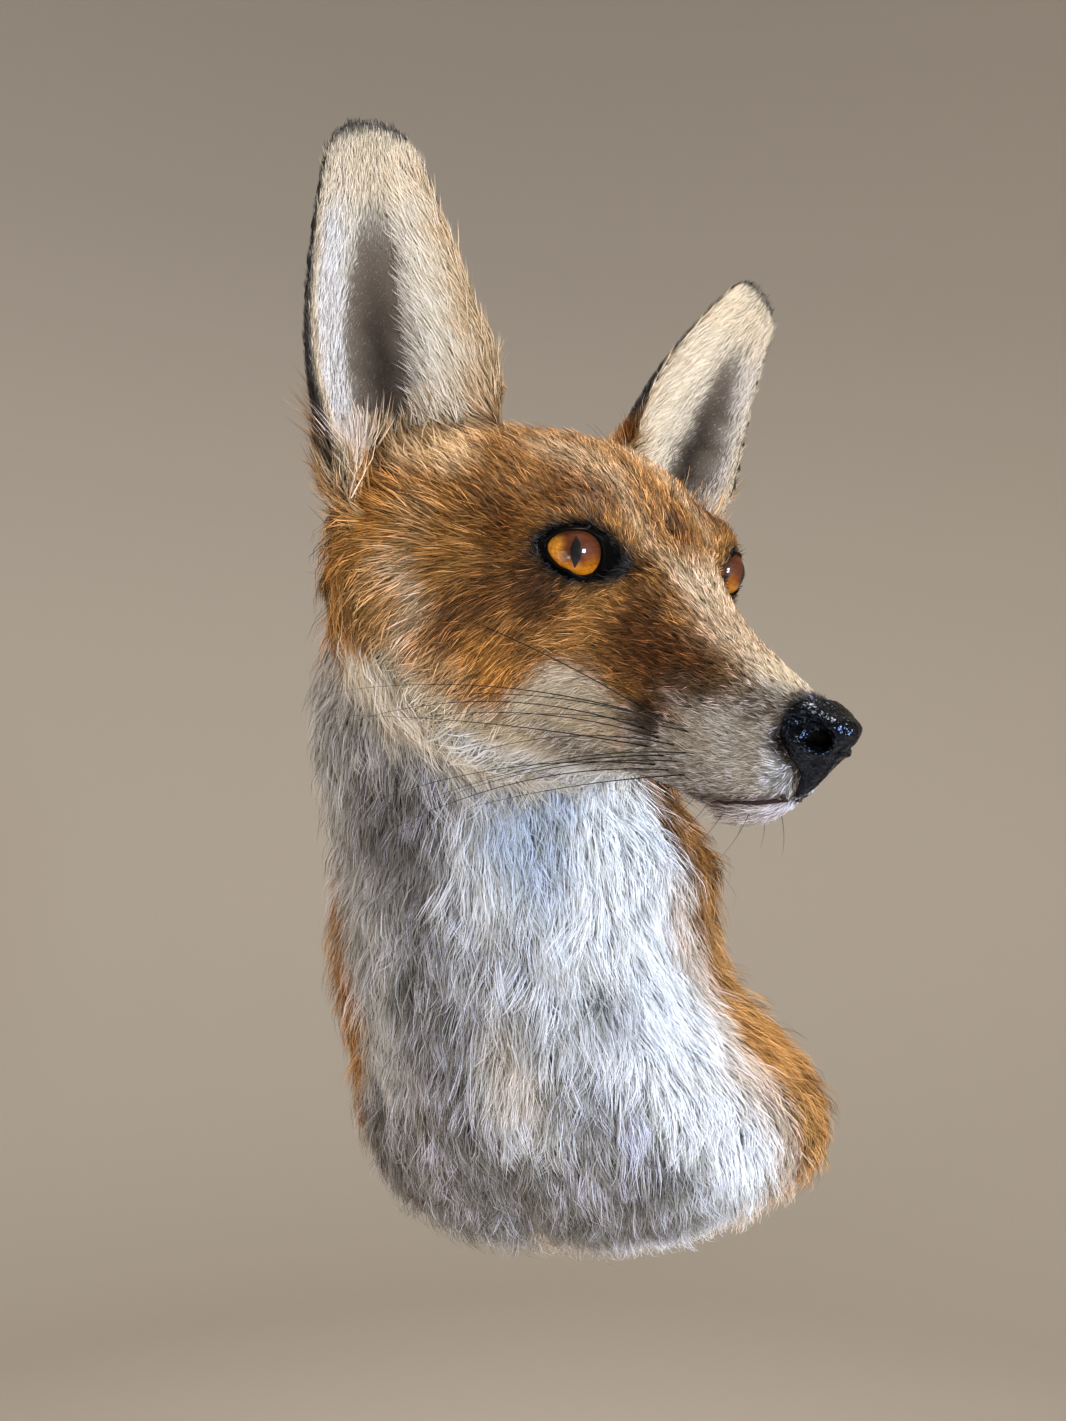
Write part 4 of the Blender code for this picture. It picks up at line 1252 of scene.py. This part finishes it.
# The nostril: a hole that opens forwards and out and runs back to a narrow tail. Each of its
# spots has a middle on the nose's left side, a radius and a depth.
NOSTRIL = [((76.4, 10.0, -27.2), 2.0, 1.8), ((78.5, 9.5, -27.3), 2.8, 3.2),
           ((80.9, 8.5, -28.1), 3.1, 4.2), ((82.6, 6.9, -29.3), 2.6, 3.8),
           ((83.8, 5.3, -30.7), 1.5, 2.1)]
NOSTRIL_WAY = (-0.55, -0.83, 0.0)
# The rounded wing that rims the nostril from below, the fold above it, and the slits between
# the wing and the front of the nose, each with how proud it stands and its breadth.
NOSE_LINES = [
    ([(75.0, 10.2, -31.0), (78.0, 9.4, -32.6), (81.0, 7.6, -33.2), (83.4, 5.2, -33.0)], 0.25, 1.3),
    ([(76.5, 9.6, -23.6), (79.5, 8.6, -23.4), (82.2, 6.6, -24.6)], 0.35, 1.2),
    ([(84.6, 3.8, -31.2), (83.0, 4.2, -34.0), (80.5, 4.6, -36.0)], -0.45, 0.6),
]
NOSE_TIP, UNDER_TIP = (-26, 1.5), (-32, -1.3)  # at the front: height, and how proud
NOSE_VOXEL, NOSE_ROUNDS = 0.34 * MM, 14
# the nostril's tone is painted shade inside the hole
NOSE_TONE, NOSTRIL_SHADE = (0.0015, 0.0015, 0.002), (0.0005, 0.0005, 0.0005)
PEBBLE_SCALE, PEBBLE_STRENGTH, PEBBLE_DEPTH = 1000, 0.9, 0.0006
# The black strap from the nose to the lips, a wedge: height, half its breadth, and its front.
STRAP = [(-32, 5.6, 82.6), (-35, 4.9, 82.2), (-38, 3.6, 80.9), (-41, 2.4, 79.2), (-44, 1.5, 77.0),
         (-46.4, 0.6, 74.9)]
STRAP_RINGS, STRAP_SIDES, STRAP_GROOVE = 28, 72, 0.7
LIP_ENDS, LIP_STEPS, LIP_SIDES, LIP_TONE = (19, 74), 40, 8, (0.020, 0.009, 0.008)
LIP_RADII = [(19, 0.25), (26, 0.7), (60, 0.8), (74, 0.7)]
# The heights of the rows of whiskers on a pad, and how thick they are at root and tip.
PAD_ROWS = (-38, -42, -46, -50)
PAD_RADII, BROW_RADII, CHIN_RADII = (0.22, 0.03), (0.14, 0.03), (0.10, 0.02)
WHISKER_SEED = 5


def nose_material():
    """Wet black leather in fine pebbles."""
    material = coat_material("nose_leather")
    cells = add_node(material, "TexVoronoi", {"Scale": PEBBLE_SCALE,
                                              "Vector": object_place(material)})
    cells.feature = "SMOOTH_F1"
    relief = add_node(material, "Bump", {"Strength": PEBBLE_STRENGTH, "Distance": PEBBLE_DEPTH,
                                         "Height": cells.outputs["Distance"]})
    relief.invert = True
    finish_shader(material, {"Normal": relief.outputs["Normal"]})
    return material


def make_nose():
    """The nose's leather, carved from its solid, and the strap below it."""
    points, triangles = mesh_arrays(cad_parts["nose"].data)
    points, triangles = mesh_arrays(
        remeshed("nose_form", points, triangles, NOSE_VOXEL, NOSE_ROUNDS))
    p = to_head(points)
    x, y, z = p.T
    normals, folded, leather = vertex_normals(p, triangles), one_sided(p), leather_share(p)
    swell = 0.35 * leather - 2.4 * (1 - leather)
    swell -= 1.6 * ease(-32.5, -36, z) * ease(79, 82, x)
    for line, proud, breadth in NOSE_LINES:
        swell += proud * bell(near_line(folded, line), breadth)
    for level, proud in (NOSE_TIP, UNDER_TIP):
        swell += proud * bell(z - level, 2.2) * ease(79, 84, x) * bell(y, 5.5)
    swell -= bell(y, 0.45) * ease(-27, -30, z) * ease(74, 77, x)
    way = unit(np.array(NOSTRIL_WAY))
    deep = np.zeros(len(p))
    for middle, radius, depth in NOSTRIL:
        rel = folded - np.array(middle)
        rel = rel - (rel @ way)[:, None] * way * 0.75
        deep = np.maximum(deep, depth * np.exp(-((rel ** 2).sum(1) / radius ** 2) ** 1.5))
    pebbles = 0.07 * waviness(p, 1.3, 21) + 0.05 * waviness(p, 0.8, 22)
    p = p + normals * ((swell + pebbles * leather) * (1 - ease(0.5, 2, deep)))[:, None]
    p[:, 0] += way[0] * deep
    p[:, 1] += way[1] * deep * np.sign(y)
    # painted shade, darker deep in the nostril
    tone = paint(np.tile(NOSE_TONE, (len(p), 1)), (NOSTRIL_SHADE, ease(0.8, 2.5, deep)))
    material = nose_material()
    add_piece("nose_leather", (from_head(p), triangles), tone, material, "nose_pad", "nose")
    heights = np.linspace(STRAP[0][0], STRAP[-1][0], STRAP_RINGS)
    reach = along(heights, [(level, half) for level, half, _ in STRAP])
    front = along(heights, [(level, most) for level, _, most in STRAP])
    line = np.stack([front - reach, 0 * heights, heights], 1)
    points, triangles = tube(line, reach, STRAP_SIDES)
    points[:, 0] -= STRAP_GROOVE * bell(points[:, 1], 0.5) * (points[:, 0] > 74)
    add_piece("philtrum", (from_head(points), triangles), BLACK * 0.2, material, "nose_pad")


def tube(line, radii, sides):
    """A tapered round tube along a line, as points and triangles."""
    line = np.asarray(line, float)
    ways = unit(np.gradient(line, axis=0))
    across = unit(np.cross(ways, (0.13, 0.21, 0.97)))  # square to the line
    other = np.cross(ways, across)
    rings = []
    for k in range(sides):
        angle = 2 * math.pi * k / sides
        rings.append(line + (across * math.cos(angle) + other * math.sin(angle))
                     * np.asarray(radii)[:, None])
    triangles = ring_faces(len(line), sides)
    last = (len(line) - 1) * sides
    for k in range(1, sides - 1):
        triangles += [(0, k + 1, k), (last, last + k, last + k + 1)]
    return np.stack(rings, 1).reshape(-1, 3), np.array(triangles)


def on_face(skin, x, z, side, out):
    """The point of the face's side at x, z of the head's axes, moved outwards a little."""
    start = Vector(from_head(((x, side * 60, z),))[0])
    hit = skin.tree.ray_cast(start, Vector(HEAD_ROTATION @ np.array((0, -side, 0))))[0]
    if hit is None:
        hit = skin.tree.find_nearest(Vector(from_head(((x, side * 5, z),))[0]))[0]
    return to_head(np.array(hit)[None])[0] + np.array((0, side * out, 0))


def make_lips(skin):
    """A thin dark edge of bare lip along the mouth, on both sides."""
    xs = np.linspace(*LIP_ENDS, LIP_STEPS)
    tubes = []
    for side in (1, -1):
        line = [on_face(skin, x, float(along(x, MOUTH_LINE)), side, -0.15) for x in xs]
        points, triangles = tube(line, along(xs, LIP_RADII), LIP_SIDES)
        tubes.append((from_head(points), triangles))
    add_piece("lips", joined(tubes), LIP_TONE, coat_material("lip_skin"), "coat")


def whisker(root, way, length, droop, radii, steps, sides=5):
    """A tapered hair that starts along a way and bends by its droop towards the tip."""
    s = np.linspace(0, 1, steps)[:, None]
    line = root + unit(np.array(way)) * length * s + np.array(droop) * s * s
    return tube(from_head(line), np.linspace(*radii, steps) * MM, sides)


def make_whiskers(skin):
    """Stiff black whiskers on both pads, a few over the eyes and finer ones at the chin."""
    dice = np.random.default_rng(WHISKER_SEED)
    tubes = []
    for side in (1, -1):
        for row, z in enumerate(PAD_ROWS):
            for k in range(4 - row // 2):
                x = 34 + 5.5 * k + 1.5 * row
                root = on_face(skin, x, z + dice.normal(0, 0.5), side, -0.5)
                length = 118 - 17 * k - 8 * row + dice.normal(0, 9)
                rise = 0.12 - 0.10 * row - 0.04 * k + dice.normal(0, 0.07)
                bend = np.array((-0.25, -side * 0.14, -0.50 + dice.normal(0, 0.20)))
                tubes.append(whisker(root, (-0.80, side * 0.55, rise), length,
                                     bend * length * 0.5, PAD_RADII, 16))
        for k in range(3):
            root = on_face(skin, -6 + 2 * k, 16 + k, side, -0.5)
            tubes.append(whisker(root, (-0.5, side * 0.5, 0.8 + 0.1 * k), 26, (-9, 0, -2),
                                 BROW_RADII, 10))
        for k in range(4):
            root = on_face(skin, 44 + 7 * k, -57 + k * 1.2, side, -0.5)
            tubes.append(whisker(root, (-0.25 + 0.15 * k, side * 0.4, -0.9), 15, (-4, 0, 0),
                                 CHIN_RADII, 8, 4))
    add_piece("whiskers", joined(tubes), BLACK, coat_material("whisker"), "coat")


# ---------------------------------------------------------------- board and hanger

GRAIN_STRETCH = (14, 160, 260)
WOOD_TONES = [(0.3, (0.38, 0.23, 0.11, 1)), (0.7, (0.62, 0.44, 0.26, 1))]
ZINC, WEAR_SCALE, WEAR_ROUGHNESS = (0.55, 0.55, 0.56, 1), 300, (0.25, 0.55)


def wood_material():
    material = new_material("plywood", 0.7, {})
    stretch = add_node(material, "Mapping", {"Vector": object_place(material),
                                             "Scale": GRAIN_STRETCH})
    grain = add_node(material, "TexNoise", {"Vector": stretch.outputs["Vector"], "Scale": 1.0,
                                            "Detail": 8})
    tint = add_node(material, "ValToRGB", {"Fac": grain.outputs["Fac"]})
    for stop, (position, colour) in zip(tint.color_ramp.elements, WOOD_TONES):
        stop.position = position
        stop.color = colour
    finish_shader(material, {"Base Color": tint.outputs["Color"]})
    return material


def metal_material():
    material = new_material("zinc_plate", 0.4, {"Base Color": ZINC, "Metallic": 1.0})
    wear = add_node(material, "TexNoise", {"Vector": object_place(material),
                                           "Scale": WEAR_SCALE})
    spread = add_node(material, "MapRange", {
        "Value": wear.outputs["Fac"], "To Min": WEAR_ROUGHNESS[0], "To Max": WEAR_ROUGHNESS[1]})
    finish_shader(material, {"Roughness": spread.outputs["Result"]})
    return material


def dress_board():
    for node, material in (("back_board", wood_material()), ("hanger", metal_material())):
        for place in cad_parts[node].material_slots:
            place.material = material


# ---------------------------------------------------------------- all together

HIDE_SHADE = 0.45  # how dark the hide is under its hair
SEEN_DEPTH, SEEN_LENGTH = 0.7, 0.6  # where most of a hair is seen, as shares of depth and length


def make_coat(skin):
    """How the hair grows all over the skin, and the piece of bare hide under it."""
    length, stand = blended(skin, skin.points, head_hair, body_hair, ear_hair).T
    flow = lie_of_coat(skin)
    out, on = skin.normals * skin.depth[:, None], flow * length[:, None]
    seen = skin.points + (out * SEEN_DEPTH + on * SEEN_LENGTH) * MM
    add_piece("skin", (skin.points, skin.triangles), coat_colours(skin, skin.points) * HIDE_SHADE,
              coat_material("hide"), "coat", *FLESH)
    print("skin:", len(skin.triangles), "triangles")
    return Coat(flow, coat_colours(skin, seen), length, stand, growth(skin))


def main():
    make_camera()
    make_lights()
    make_stage()
    skin = make_skin()
    coat = make_coat(skin)
    hair = coat_material("fur")
    at_ears = ease(0.25, 0.7, ear_front(to_head(skin.points)))
    tufts = coat._replace(growth=coat.growth * at_ears,
                          length=coat.length + EAR_TUFT_LENGTH * at_ears)
    for fur in FURS:
        add_fur(fur, skin, tufts if fur.name == "ear_tufts" else coat, hair)
    make_eyes()
    make_lids(skin)
    make_nose()
    make_lips(skin)
    make_whiskers(skin)
    dress_board()


main()
